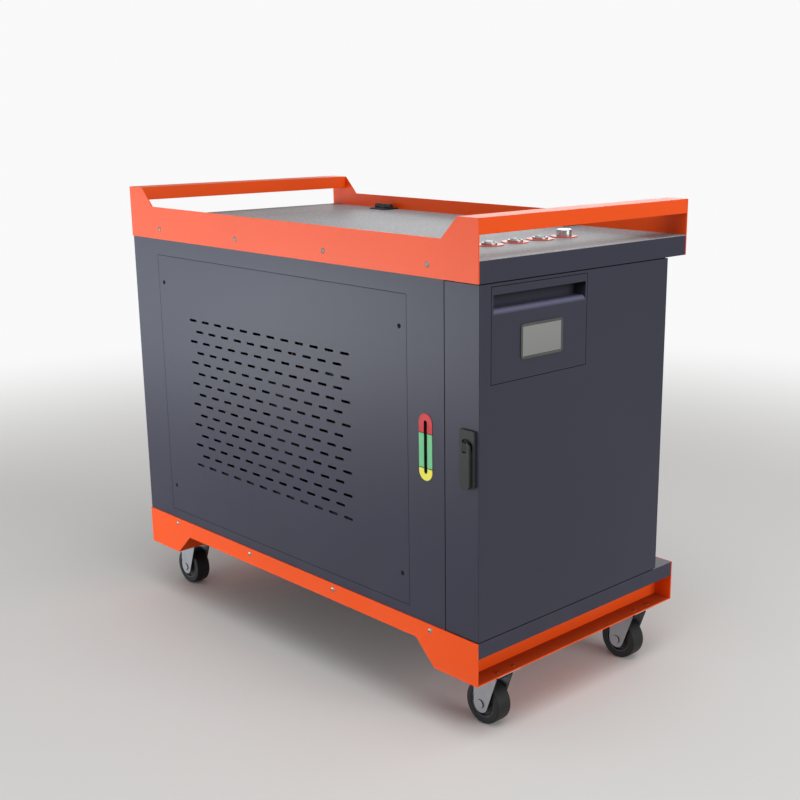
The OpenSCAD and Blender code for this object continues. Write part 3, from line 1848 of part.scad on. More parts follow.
// The main breaker in the rear panel, with the slot its toggle turns in
module main_breaker() {
  flange = 5;
  flange_t = 2;
  color(black)
    difference() {
      union() {
        translate([breaker_x, 0, breaker_z])
          sheet_xz(inner_rear - breaker_d, breaker_d + skin_t)
            square(breaker_size, center = true);
        translate([breaker_x, 0, breaker_z])
          sheet_xz(y_rear, flange_t)
            square(breaker_size + [2, 2] * flange, center = true);
      }
      translate([breaker_x - toggle_w / 2 - free_fit, y_rear, breaker_z])
        rod_x(0, toggle_w + 2 * free_fit, toggle_r + 2 * free_fit);
    }
}

module breaker_toggle() {
  step = 1;
  reach = 15;
  color(black)
    translate([breaker_x - toggle_w / 2, y_rear, breaker_z]) {
      rod_x(0, toggle_w, toggle_r);
      rotate([breaker_angle / 2, 0, 0])
        span([step, toggle_r / 2, -toggle_r / 3], [toggle_w - step, reach, toggle_r / 3]);
    }
}

base_pan();
side_plate(-overall_w / 2);  // side_plate_left
side_plate(x_plate);  // side_plate_right
cross_members();
upper_plate(-overall_w / 2);  // upper_plate_left
upper_plate(x_plate);  // upper_plate_right
handle_bars();
top_cover();
cabinet_frame();
left_panel();
right_panel();
rear_panel();
vent_panel();
screws();
level_gauge();
service_hatch();
hatch_hinge_bases();
hatch_hinge_leaves();
front_door();
door_hinge_bases();
door_hinge_leaves();
display_surround();
screen_housing();
screen_glass();
lock_plate();
lock_spindle();
lock_lever();
control_collars();
switch_bodies();
push_button(1, steel);  // button_left
push_button(2, green);  // button_middle
push_button(3, green);  // button_right
stop_button();
key_barrel();
caster_plates();
fork(-1, -1);  // fork_front_left
fork(1, -1);  // fork_front_right
fork(-1, 1);  // fork_rear_left
fork(1, 1);  // fork_rear_right
wheel(-1, -1);  // wheel_front_left
wheel(1, -1);  // wheel_front_right
wheel(-1, 1);  // wheel_rear_left
wheel(1, 1);  // wheel_rear_right
equipment_shelf();
laser_source();
water_tank();
tank_cap();
pump();
compressor();
condenser();
fan_shroud();
fan_rotor();
refrigerant_pipes();
water_hoses();
power_supplies();
control_board();
cable_glands();
pipe_fittings();
main_breaker();
breaker_toggle();
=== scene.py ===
"""Dresses the laser welding machine: rolled sheet edges, mouldings, finishes and a plain studio."""

import json
import logging
import math
from collections.abc import Callable, Iterable, Sequence
from dataclasses import dataclass, replace
from enum import Enum
from itertools import product

import bmesh
import bpy
from bmesh.types import BMesh, BMVert
from bpy.types import Collection, Material, Node, NodeSocket, Object, World
from mathutils import Matrix, Vector

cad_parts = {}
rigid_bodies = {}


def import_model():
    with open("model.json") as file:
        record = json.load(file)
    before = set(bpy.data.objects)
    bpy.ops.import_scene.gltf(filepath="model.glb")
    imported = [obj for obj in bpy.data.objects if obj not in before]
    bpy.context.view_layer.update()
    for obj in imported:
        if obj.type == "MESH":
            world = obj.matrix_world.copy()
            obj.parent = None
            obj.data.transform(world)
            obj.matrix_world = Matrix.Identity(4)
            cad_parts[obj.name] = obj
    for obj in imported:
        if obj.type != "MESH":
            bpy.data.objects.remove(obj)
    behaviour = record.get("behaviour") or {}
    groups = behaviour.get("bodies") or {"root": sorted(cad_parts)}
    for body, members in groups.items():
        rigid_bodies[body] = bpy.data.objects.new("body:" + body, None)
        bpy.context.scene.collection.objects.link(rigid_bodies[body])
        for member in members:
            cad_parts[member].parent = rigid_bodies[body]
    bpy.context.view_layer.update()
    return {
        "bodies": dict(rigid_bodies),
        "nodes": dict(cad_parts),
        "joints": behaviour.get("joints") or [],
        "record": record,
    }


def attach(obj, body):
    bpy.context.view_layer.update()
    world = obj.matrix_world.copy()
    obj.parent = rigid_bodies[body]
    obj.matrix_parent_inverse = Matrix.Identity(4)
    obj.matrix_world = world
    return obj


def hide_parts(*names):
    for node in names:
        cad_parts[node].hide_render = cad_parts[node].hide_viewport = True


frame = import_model()

log = logging.getLogger("laser_welder")

Colour = tuple[float, float, float]
Span = tuple[float, float]
Profile = list[Span]

MM = 0.001
X, Y, Z = range(3)
LEFT_FACE_X = -272.49 * MM
FRONT_FACE_Y = -514.99 * MM
FACE_BLUR = 0.01 * MM
NEAR = 0.01 * MM
NODE_MERGE = 2e-6
PIECE_MERGE = 1e-6
LATHE_MERGE = 1e-7
FLAT_ANGLE = math.radians(0.3)
ROLLED_ANGLE = math.radians(32)
SHARP_ANGLE = math.radians(34)
HEX = 6
SIXTH = math.tau / HEX
DOME_STEPS = 6
CASTER_SPOT: Span = (192.5, 473.0)
EVEN = (1, 1, 1)
SMOOTH, SOFT, FINE, FINEST = 1.0, 2.0, 3.0, 4.0
NOISE_SPAN: Span = (0.3, 0.7)
WHITE: Colour = (1.0, 1.0, 1.0)
COOL: Colour = (0.78, 0.88, 1.0)


class Side(Enum):
    """The machine's two long sides, as the sign of X."""

    LEFT = -1
    RIGHT = 1


class End(Enum):
    """The machine's two ends, as the sign of Y."""

    FRONT = -1
    REAR = 1


class Axis(Enum):
    """The direction that a turned piece's own Z axis is laid along."""

    UP = (0, 0, 1)
    LEFT = (-1, 0, 0)
    RIGHT = (1, 0, 0)


class Edge(Enum):
    """Rolled edges: their width in millimetres and their steps."""

    GLASS = (0.25, 2)
    STAMPED = (0.3, 2)
    COLLAR = (0.35, 2)
    TRIMMED = (0.4, 2)
    PRESSED = (0.5, 2)
    COVER = (0.6, 2)
    HOUSING = (0.6, 3)
    PLATE = (0.7, 2)
    GLAND = (0.8, 2)
    LOCK_PLATE = (0.8, 3)
    LEVER = (1.1, 4)
    CASE = (1.2, 2)
    FOLD = (1.2, 3)
    SKIN = (1.6, 2)
    SURROUND = (2.0, 2)
    TANK = (2.2, 3)


def srgb(red: float, green: float, blue: float) -> Colour:
    """Turns a display colour, with channels up to 255, into a linear one."""
    shares = [c / 255 for c in (red, green, blue)]
    return tuple(c / 12.92 if c <= 0.04045 else ((c + 0.055) / 1.055) ** 2.4 for c in shares)


def scaled(colour: Colour, factor: float) -> Colour:
    """Makes a colour lighter or darker, with no channel above 1."""
    return tuple(min(1.0, c * factor) for c in colour)


BODY: Colour = srgb(52, 52, 66)
LOCK: Colour = srgb(39, 40, 39)


class Value:
    """A number that a node gives out. Arithmetic on it adds Math nodes."""

    def __init__(self, graph: "Graph", socket: NodeSocket) -> None:
        """Wraps an output socket of a graph."""
        self.graph = graph
        self.socket = socket

    def _math(self, operation: str, first: object, second: object) -> "Value":
        """Adds one Math node that works on two values or links."""
        made = self.graph.node("ShaderNodeMath", {"operation": operation}, {0: first, 1: second})
        return Value(self.graph, made.outputs[0])

    def __add__(self, other: object) -> "Value":
        """Adds."""
        return self._math("ADD", self, other)

    __radd__ = __add__

    def __mul__(self, other: object) -> "Value":
        """Multiplies."""
        return self._math("MULTIPLY", self, other)

    __rmul__ = __mul__

    def __sub__(self, other: object) -> "Value":
        """Subtracts."""
        return self._math("SUBTRACT", self, other)

    def __rsub__(self, other: object) -> "Value":
        """Subtracts this value from a number."""
        return self._math("SUBTRACT", other, self)

    def ramp(self, source: Span, target: Span = (0.0, 1.0), shape: str = "LINEAR") -> "Value":
        """Maps one range onto another, held at both ends.

        Args:
            source: The range of this value.
            target: The range that it is mapped onto.
            shape: The way between the two ends.

        Returns:
            The mapped value.
        """
        made = self.graph.node(
            "ShaderNodeMapRange",
            {"clamp": True, "interpolation_type": shape},
            {0: self, 1: source[0], 2: source[1], 3: target[0], 4: target[1]},
        )
        return Value(self.graph, made.outputs[0])

    def above(self, level: float, blur: float) -> "Value":
        """Masks where the value is over a level, with a soft step of the blur's width."""
        return self.ramp((level - blur / 2, level + blur / 2))

    def within(self, low: float, high: float, blur: float) -> "Value":
        """Masks where the value is between two levels."""
        return self.above(low, blur) * (1 - self.above(high, blur))

    def spread(self, low: float, high: float) -> "Value":
        """Maps the range where noise mostly lies onto low to high."""
        return self.ramp(NOISE_SPAN, (low, high))

    def around(self, middle: float, reach: Span) -> "Value":
        """Spreads noise from a little under a value to a little over it."""
        return self.spread(middle - reach[0], middle + reach[1])


class Graph:
    """The node graph of a material or of the world."""

    def __init__(self, owner: Material | World) -> None:
        """Starts an empty graph.

        Args:
            owner: What the graph belongs to.
        """
        owner.use_nodes = True
        self.owner = owner
        self.tree = owner.node_tree
        self.tree.nodes.clear()

    def node(self, kind: str, settings: dict | None = None, inputs: dict | None = None) -> Node:
        """Adds one node.

        Args:
            kind: The node's type.
            settings: Its properties, which are set first.
            inputs: Values or links of its sockets, by name or number.

        Returns:
            The node.
        """
        made = self.tree.nodes.new(kind)
        for key, value in (settings or {}).items():
            setattr(made, key, value)
        for key, value in (inputs or {}).items():
            self.feed(made.inputs[key], value)
        return made

    def feed(self, socket: NodeSocket, value: object) -> None:
        """Links or sets one input socket.

        Args:
            socket: The input.
            value: A Value, an output socket, a number or a colour.
        """
        if isinstance(value, Value):
            value = value.socket
        if isinstance(value, NodeSocket):
            self.tree.links.new(value, socket)
        elif socket.type == "RGBA":
            socket.default_value = (*value[:3], 1.0)
        else:
            socket.default_value = value

    def place(self, stretch: Sequence[float] = EVEN) -> NodeSocket:
        """Gives the object coordinates.

        Args:
            stretch: What they are multiplied by along each axis.

        Returns:
            The coordinates.
        """
        source = self.node("ShaderNodeTexCoord").outputs["Object"]
        if tuple(stretch) == EVEN:
            return source
        made = self.node("ShaderNodeMapping", {}, {"Vector": source, "Scale": tuple(stretch)})
        return made.outputs[0]

    def part(self, vector: NodeSocket, index: int) -> Value:
        """Gives one part of a vector."""
        return Value(self, self.node("ShaderNodeSeparateXYZ", {}, {0: vector}).outputs[index])

    def axis(self, index: int) -> Value:
        """Gives one object coordinate in metres."""
        return self.part(self.place(), index)

    def facing(self, index: int) -> Value:
        """Gives how far the surface faces along one object axis, from -1 to 1."""
        return self.part(self.node("ShaderNodeTexCoord").outputs["Normal"], index)

    def noise(
        self, size: float, detail: float = SOFT, stretch: Sequence[float] = EVEN
    ) -> Value:
        """Adds a noise pattern.

        Args:
            size: The size of its blotches in metres.
            detail: How many finer layers it has, from SMOOTH to FINEST.
            stretch: How much finer it is along each axis.

        Returns:
            The noise.
        """
        made = self.node(
            "ShaderNodeTexNoise",
            {},
            {"Vector": self.place(stretch), "Scale": 1 / size, "Detail": detail},
        )
        return Value(self, made.outputs[0])

    def mix(self, factor: object, first: object, second: object) -> NodeSocket:
        """Mixes two colours by the share of the second one."""
        colours = {0: factor, 6: first, 7: second}
        return self.node("ShaderNodeMix", {"data_type": "RGBA"}, colours).outputs[2]

    def bump(self, height: Value, depth: float) -> NodeSocket:
        """Turns a height pattern with a depth in metres into a normal."""
        pattern = {"Strength": 1.0, "Distance": depth, "Height": height}
        return self.node("ShaderNodeBump", {}, pattern).outputs[0]

    def close(self, shader: Node) -> Material | World:
        """Ends the graph with its output.

        Args:
            shader: The shader that the output takes.

        Returns:
            What the graph belongs to.
        """
        kind = "World" if isinstance(self.owner, World) else "Material"
        self.node(f"ShaderNodeOutput{kind}", {}, {"Surface": shader.outputs[0]})
        return self.owner

    def surface(self, **inputs: object) -> Material:
        """Closes the graph with a surface shader, whose sockets have underscores for spaces."""
        sockets = {name.replace("_", " "): value for name, value in inputs.items()}
        return self.close(self.node("ShaderNodeBsdfPrincipled", {}, sockets))


@dataclass(frozen=True)
class Finish:
    """A finish that the machine's pieces are dressed in."""

    name: str
    slot: str
    colour: Colour

    def graph(self) -> Graph:
        """Starts the graph of a new material."""
        return Graph(bpy.data.materials.new(self.name))

    def toned(self, g: Graph, mask: Value, dark: float, light: float) -> NodeSocket:
        """Gives the colour, scaled from dark to light along a mask."""
        return g.mix(mask, scaled(self.colour, dark), scaled(self.colour, light))

    def build(self) -> Material:
        """Makes the material."""
        raise NotImplementedError


@dataclass(frozen=True)
class PowderCoat(Finish):
    """Baked powder paint: an orange-peel skin, slight drift of tone and a little dust low down."""

    roughness: float = 0.38
    wear: Span = (0.04, 0.06)
    gloss: float = 0.15
    coat: float = 0.05
    coat_roughness: float = 0.25
    peel: float = 1.3 * MM
    depth: float = 0.03 * MM
    drift: float = 0.05
    drift_size: float = 0.35
    dust: Colour = srgb(150, 145, 140)
    dust_size: float = 0.06
    dust_share: float = 0.05
    dust_z: float = 0.16
    dust_fade: float = 0.3
    # How much a painted highlight lightens a roll that a subclass masks.
    roll_gain: float = 4.2
    # Near-black painted shade and its extra dullness, for the seams and hollows that a subclass
    # masks.
    primer: Colour = srgb(8, 8, 12)
    primer_dulling: float = 0.5

    def primed(self, g: Graph) -> Value | float:
        """Masks where dull near-black painted shade stands in for the shade of seams and hollows, 0
        where the paint is plain.
        """
        return 0.0

    def rolled_edge(self, g: Graph) -> Value | float:
        """Masks where a painted highlight lightens the paint on a fold's roll."""
        return 0.0

    def build(self) -> Material:
        """Makes the material.

        Returns:
            The powder-coated material.
        """
        g = self.graph()
        # Painted shade: where the mask is set, the colour turns near-black, duller and without coat.
        shaded = self.primed(g)
        fine = g.noise(self.peel)
        drift = g.noise(self.drift_size, SMOOTH).spread(0.0, 1.0)
        tone = self.toned(g, drift, 1 - self.drift, 1 + self.drift)
        low = 1 - g.axis(Z).above(self.dust_z, self.dust_fade)
        dust = low * g.noise(self.dust_size, FINEST).spread(0.0, self.dust_share)
        # Painted highlight: the masked roll is lightened well past the paint's own colour.
        rolled = g.mix(self.rolled_edge(g), tone, scaled(self.colour, self.roll_gain))
        dusty = g.mix(dust, rolled, self.dust)
        return g.surface(
            Base_Color=g.mix(shaded, dusty, self.primer),
            Roughness=fine.around(self.roughness, self.wear) + dust + shaded * self.primer_dulling,
            Specular_IOR_Level=self.gloss,
            Coat_Weight=self.coat - shaded * self.coat,
            Coat_Roughness=self.coat_roughness,
            Normal=g.bump(fine, self.depth),
        )


@dataclass(frozen=True)
class SkinCoat(PowderCoat):
    """Powder paint on a side skin's outer face; all the rest, the seams' walls and the ledge behind
    them, is near-black painted shade.
    """

    face_x: float = LEFT_FACE_X

    def primed(self, g: Graph) -> Value:
        """Masks all that lies behind the outer face, for painted shade in the seams."""
        return g.axis(X).above(self.face_x, FACE_BLUR)


@dataclass(frozen=True)
class DoorCoat(PowderCoat):
    """Powder paint on the door's three outer faces; all the rest, its seams and inside, is near-black
    painted shade.
    """

    left_x: float = LEFT_FACE_X
    front_y: float = FRONT_FACE_Y
    right_x: float = 0.21949

    def primed(self, g: Graph) -> Value:
        """Masks the inside of the door and its seams, for painted shade."""
        across = g.axis(X).within(self.left_x, self.right_x, FACE_BLUR)
        return across * g.axis(Y).above(self.front_y, FACE_BLUR)


@dataclass(frozen=True)
class SurroundCoat(PowderCoat):
    """Powder paint on the display's surround, with near-black painted shade on its outer edges and up
    the pocket's back, and a painted highlight on the pocket's floor.
    """

    front_y: float = FRONT_FACE_Y
    pocket_z: Span = (0.7437, 0.7772)
    floor_blur: float = 1.0 * MM
    ceiling_blur: float = 0.3 * MM
    # Where the pocket's painted shade fades in, and over what height.
    fade_z: float = 0.767
    fade: float = 20.0 * MM
    # Strength of the painted highlight on the pocket's roll, how high it reaches and which way it
    # must face.
    roll: float = 0.8
    roll_drop: float = 20.0 * MM
    roll_facing: Span = (0.3, 0.6)

    def primed(self, g: Graph) -> Value:
        """Masks painted shade on the outer edges, and in the pocket more and more towards its
        ceiling.

        Args:
            g: The material's graph.

        Returns:
            The mask.
        """
        height = g.axis(Z)
        floor, ceiling = self.pocket_z
        behind = g.axis(Y).above(self.front_y, FACE_BLUR)
        pocket = height.above(floor, self.floor_blur) * (1 - height.above(ceiling, self.ceiling_blur))
        return behind * (1 - pocket + pocket * height.above(self.fade_z, self.fade))

    def rolled_edge(self, g: Graph) -> Value:
        """Masks the pocket's floor and the roll in front of it, where they face up, for a painted
        highlight.

        Args:
            g: The material's graph.

        Returns:
            The mask.
        """
        floor, ceiling = self.pocket_z
        low = g.axis(Z).within(floor, ceiling - self.roll_drop, self.floor_blur)
        return low * g.facing(Z).above(*self.roll_facing) * self.roll


@dataclass(frozen=True)
class ChannelCoat(PowderCoat):
    """The cross members' powder paint, with painted shade in dark brown on the upper face of the open
    channel's lower flange, under the pan's overhang.
    """

    flange_z: float = 0.1155
    flange_blur: float = 1.0 * MM
    flange_facing: Span = (0.5, 0.4)
    # Spread and size of the mottle in the painted shade.
    grime: Span = (0.9, 1.0)
    grime_size: float = 0.03
    # Dark brown painted shade for the flange, which lies in the pan's shade.
    primer: Colour = srgb(168, 62, 16)

    def primed(self, g: Graph) -> Value:
        """Masks the flange's upper face, mottled a little, for painted shade.

        Args:
            g: The material's graph.

        Returns:
            The mask.
        """
        low = 1 - g.axis(Z).above(self.flange_z, self.flange_blur)
        grime = g.noise(self.grime_size, FINE).spread(*self.grime)
        return low * g.facing(Z).above(*self.flange_facing) * grime


@dataclass(frozen=True)
class TexturedCoat(Finish):
    """The cover's coarse textured paint: light speckles on its top face and plain on its folds; the
    top's lighter tone is painted sheen over the folds' dark paint.
    """

    fold: Colour = BODY
    top_z: float = 0.8333
    top_blur: float = 0.4 * MM
    grain: float = 2.2 * MM
    grain_share: float = 0.65
    blotch: float = 6.0 * MM
    tones: Span = (0.42, 1.75)
    drift: Span = (0.9, 1.06)
    drift_size: float = 0.25
    roughness: float = 0.40
    speckle_dulling: float = 0.16
    gloss: float = 0.15
    depth: float = 0.2 * MM

    def build(self) -> Material:
        """Makes the material.

        Returns:
            The textured paint.
        """
        g = self.graph()
        grain = g.noise(self.grain, FINE)
        blotch = g.noise(self.blotch)
        speckle = (grain * self.grain_share + blotch * (1 - self.grain_share)).spread(0.0, 1.0)
        drift = g.noise(self.drift_size, SMOOTH).spread(*self.drift)
        light = self.toned(g, speckle, *self.tones)
        drifted = g.node("ShaderNodeVectorMath", {"operation": "SCALE"}, {0: light, "Scale": drift})
        # Painted sheen: the top face is lighter than the folds, which keep the paint's own dark grey.
        top = g.axis(Z).above(self.top_z, self.top_blur)
        return g.surface(
            Base_Color=g.mix(top, self.fold, drifted.outputs[0]),
            Roughness=speckle * self.speckle_dulling + self.roughness,
            Specular_IOR_Level=self.gloss,
            Normal=g.bump(grain, self.depth),
        )


@dataclass(frozen=True)
class Metal(Finish):
    """Bare or plated metal with a brushed or drawn grain and cloudy tarnish."""

    roughness: float = 0.3
    wear: Span = (0.06, 0.08)
    grain: float = 1.2 * MM
    stretch: tuple[float, float, float] = EVEN
    depth: float = 0.02 * MM
    tarnish: Colour = srgb(150, 150, 152)
    clouds: float = 0.35
    cloud_size: float = 0.02
    cloud_dulling: float = 0.2

    def tone(self, g: Graph, cloud: Value) -> NodeSocket:
        """Gives the metal's colour under its tarnish."""
        return g.mix(cloud, self.colour, self.tarnish)

    def build(self) -> Material:
        """Makes the material.

        Returns:
            The metal.
        """
        g = self.graph()
        grain = g.noise(self.grain, FINE, self.stretch)
        cloud = g.noise(self.cloud_size, FINE).spread(0.0, self.clouds)
        return g.surface(
            Base_Color=self.tone(g, cloud),
            Metallic=1.0,
            Roughness=grain.around(self.roughness, self.wear) + cloud * self.cloud_dulling,
            Normal=g.bump(grain, self.depth),
        )


@dataclass(frozen=True)
class ForkPlate(Metal):
    """Zinc on a fork's cheeks, with painted shade in dark steel on its edges and bridge, all that
    doesn't face sideways.
    """

    # Painted shade for the fork's front edges and bridge, which lie in shade.
    edge: Colour = srgb(34, 34, 37)
    cheek: Span = (0.5, 0.3)

    def tone(self, g: Graph, cloud: Value) -> NodeSocket:
        """Gives the zinc's colour, or the dark painted shade's where the metal doesn't face sideways.
        """
        across = g.facing(X)
        return g.mix((across * across).above(*self.cheek), self.edge, super().tone(g, cloud))


@dataclass(frozen=True)
class Moulding(Finish):
    """Moulded plastic or rubber with a fine spark-eroded grain."""

    roughness: float = 0.45
    wear: Span = (0.05, 0.07)
    gloss: float = 0.5
    grain: float = 0.9 * MM
    depth: float = 0.03 * MM
    drift: float = 0.1
    drift_size: float = 0.05
    sheen: float = 0.0
    glow: float = 0.0
    glow_reach: float = 0.01

    def tone(self, g: Graph) -> NodeSocket:
        """Gives the colour with its slow drift."""
        drift = g.noise(self.drift_size).spread(0.0, 1.0)
        return self.toned(g, drift, 1 - self.drift, 1 + self.drift)

    def build(self) -> Material:
        """Makes the material.

        Returns:
            The moulded plastic.
        """
        g = self.graph()
        grain = g.noise(self.grain)
        return g.surface(
            Base_Color=self.tone(g),
            Roughness=grain.around(self.roughness, self.wear),
            Specular_IOR_Level=self.gloss,
            Sheen_Weight=self.sheen,
            Subsurface_Weight=self.glow,
            Subsurface_Scale=self.glow_reach,
            Normal=g.bump(grain, self.depth),
        )


@dataclass(frozen=True)
class LugFace(Moulding):
    """The spindle's black oxide, near-black also as painted shade in the lock plate's recess round
    the lever, with the lug's outer face in the lever's own colour.
    """

    face_x: float = -0.2812
    face_blur: float = 0.1 * MM
    lug: Colour = LOCK

    def tone(self, g: Graph) -> NodeSocket:
        """Gives the colour along the spindle."""
        return g.mix(g.axis(X).above(self.face_x, self.face_blur), self.lug, super().tone(g))


@dataclass(frozen=True)
class LevelBands(Finish):
    """The gauge's printed strip: red over green over yellow, with dark lines between them."""

    high: Colour = srgb(198, 34, 40)
    low: Colour = srgb(228, 222, 84)
    red_from: float = 0.534
    green_from: float = 0.473
    band_blur: float = 0.6 * MM
    line: float = 0.8 * MM
    line_blur: float = 0.3 * MM
    line_colour: Colour = srgb(40, 40, 36)
    scuff: Colour = srgb(225, 225, 220)
    scuff_size: float = 0.02
    scuff_share: float = 0.04
    grain: float = 1.0 * MM
    roughness: Span = (0.3, 0.42)
    gloss: float = 0.15
    depth: float = 0.01 * MM

    def build(self) -> Material:
        """Makes the material.

        Returns:
            The printed strip.
        """
        g = self.graph()
        height = g.axis(Z)
        grain = g.noise(self.grain)
        lower = g.mix(height.above(self.green_from, self.band_blur), self.low, self.colour)
        bands = g.mix(height.above(self.red_from, self.band_blur), lower, self.high)
        scuffs = g.noise(self.scuff_size).spread(0.0, self.scuff_share)
        lines = [
            height.within(level - self.line, level + self.line, self.line_blur)
            for level in (self.green_from, self.red_from)
        ]
        return g.surface(
            Base_Color=g.mix(sum(lines), g.mix(scuffs, bands, self.scuff), self.line_colour),
            Roughness=grain.spread(*self.roughness),
            Specular_IOR_Level=self.gloss,
            Normal=g.bump(grain, self.depth),
        )


@dataclass(frozen=True)
class ScreenFace(Finish):
    """The dark display behind its cover glass, a little lighter upwards, with faint pixel rows."""

    rise_z: Span = (0.668, 0.72)
    tones: Span = (0.94, 1.08)
    rows: float = 220.0
    row_share: float = 0.10
    row_colour: Colour = srgb(90, 92, 90)
    roughness: Span = (0.16, 0.24)
    smear_size: float = 0.03
    coat: float = 0.5
    coat_roughness: float = 0.05

    def build(self) -> Material:
        """Makes the material.

        Returns:
            The display's face.
        """
        g = self.graph()
        rise = g.axis(Z).ramp(self.rise_z)
        rows = g.node(
            "ShaderNodeTexWave",
            {"wave_type": "BANDS", "bands_direction": "Z"},
            {"Vector": g.place(), "Scale": self.rows, "Distortion": 0.0},
        ).outputs[1]
        lines = Value(g, rows) * self.row_share
        return g.surface(
            Base_Color=g.mix(lines, self.toned(g, rise, *self.tones), self.row_colour),
            Roughness=g.noise(self.smear_size).spread(*self.roughness),
            Coat_Weight=self.coat,
            Coat_Roughness=self.coat_roughness,
        )


@dataclass(frozen=True)
class CircuitBoard(Finish):
    """The control board: green mask with tracks, black chips on its inner side, brass pillars."""

    back_y: float = -0.5016
    chip_y: float = -0.4996
    blur: float = 0.2 * MM
    cells: float = 90.0
    dark_cell: float = 0.8
    track: float = 1.9
    track_width: float = 0.03
    chip: Colour = srgb(28, 28, 30)
    pillar: Colour = srgb(190, 160, 90)
    pillar_metal: float = 0.9
    roughness: Span = (0.35, 0.5)
    grain: float = 2.0 * MM

    def build(self) -> Material:
        """Makes the material.

        Returns:
            The board's material.
        """
        g = self.graph()
        depth = g.axis(Y)
        cells = g.node(
            "ShaderNodeTexBrick",
            {},
            {
                "Vector": g.place((1, 0, 1)),
                "Scale": self.cells,
                "Color1": self.colour,
                "Color2": scaled(self.colour, self.dark_cell),
                "Mortar": scaled(self.colour, self.track),
                "Mortar Size": self.track_width,
            },
        ).outputs[0]
        chips = g.mix(depth.above(self.chip_y, self.blur), cells, self.chip)
        pillar = 1 - depth.above(self.back_y, self.blur)
        return g.surface(
            Base_Color=g.mix(pillar, chips, self.pillar),
            Metallic=pillar * self.pillar_metal,
            Roughness=g.noise(self.grain).spread(*self.roughness),
        )


# The cross members' orange, with painted shade on the channel's lower flange.
CHANNEL = ChannelCoat("channel_coat", "orange_paint", srgb(236, 80, 12))
ORANGE = PowderCoat("orange_powder_coat", "orange_paint", srgb(236, 80, 12))
# Orange overspray on the caster bolts, darkened as painted shade to match the flange's under the pan.
SHADED_OVERSPRAY = PowderCoat("bolt_overspray", "orange_paint", srgb(146, 54, 16))
GREY = PowderCoat("grey_powder_coat", "grey_paint", BODY)
SKIN = SkinCoat("side_skin_coat", "grey_paint", BODY)
DOOR = DoorCoat("door_coat", "grey_paint", BODY)
SURROUND = SurroundCoat("surround_coat", "grey_paint", BODY)
FRAME_GREY = PowderCoat("frame_powder_coat", "frame_paint", srgb(26, 26, 29))
# The cover top's light grey: speckled texture, lightened as painted sheen.
COVER = TexturedCoat("textured_cover_coat", "textured_paint", srgb(152, 153, 156))
ZINC = Metal("zinc_plated_steel", "steel", srgb(205, 206, 208), roughness=0.34)
SCREW_STEEL = Metal("screw_steel", "steel", srgb(170, 158, 152), roughness=0.32, clouds=0.3)
FORK_ZINC = ForkPlate("dull_fork_zinc", "steel", srgb(152, 153, 157), roughness=0.55, clouds=0.6)
SATIN = Metal("satin_steel", "steel", srgb(186, 187, 188), roughness=0.34, clouds=0.1)
POLISHED = Metal("polished_steel", "steel", srgb(204, 204, 206), roughness=0.22, clouds=0.1)
FIN_BLACK = Moulding(
    "painted_fins", "bare_aluminium", srgb(30, 30, 32), roughness=0.6, gloss=0.2
)
ALUMINIUM = Metal(
    "brushed_aluminium", "bare_aluminium", srgb(212, 213, 216), roughness=0.38, stretch=(1, 12, 1)
)
COPPER = Metal(
    "aged_copper", "copper", srgb(126, 72, 48), roughness=0.45, tarnish=srgb(58, 38, 30)
)
BRASS = Metal(
    "turned_brass", "brass", srgb(214, 180, 112), roughness=0.26, tarnish=srgb(150, 120, 70)
)
BLACK = Moulding("black_moulding", "black_plastic", srgb(28, 28, 30), roughness=0.42)
INK = Moulding("black_oxide", "steel", srgb(8, 8, 9), roughness=0.7, gloss=0.15)
# Near-black spindle: black oxide, and painted shade where its flange shows in the recess round the
# lever.
SPINDLE = LugFace("spindle_oxide", "steel", srgb(8, 8, 9), roughness=0.6, gloss=0.2)
LOCK_BLACK = Moulding("lock_moulding", "black_plastic", LOCK, roughness=0.55, gloss=0.25)
BEZEL = Moulding("bezel_moulding", "black_plastic", srgb(74, 76, 72), roughness=0.5, gloss=0.3)
COLLAR = Moulding("collar_moulding", "orange_plastic", srgb(214, 62, 34), roughness=0.3)
RED = Moulding("stop_moulding", "red_plastic", srgb(200, 30, 26), roughness=0.26)
LENS = Moulding("button_lens", "green_lens", srgb(96, 172, 124), roughness=0.3, glow=0.22)
TYRE = Moulding(
    "tyre_rubber", "wheel_rubber", srgb(24, 24, 26), roughness=0.55, gloss=0.3, depth=0.08 * MM
)
HUB = Moulding("hub_moulding", "wheel_rubber", srgb(40, 40, 42), roughness=0.45)
TANK = Moulding("tank_moulding", "tank_plastic", srgb(224, 228, 230), roughness=0.4, glow=0.2)
TUBE = Moulding("sight_tube_plastic", "gauge_plastic", srgb(52, 62, 60), roughness=0.15)
HOSE = Moulding("hose_rubber", "hose_rubber", srgb(48, 78, 140), roughness=0.5, sheen=0.1)
BANDS = LevelBands("gauge_print", "gauge_plastic", srgb(108, 190, 132))
SCREEN = ScreenFace("display_face", "screen_glass", srgb(124, 125, 124))
BOARD = CircuitBoard("circuit_board", "board", srgb(24, 96, 52))


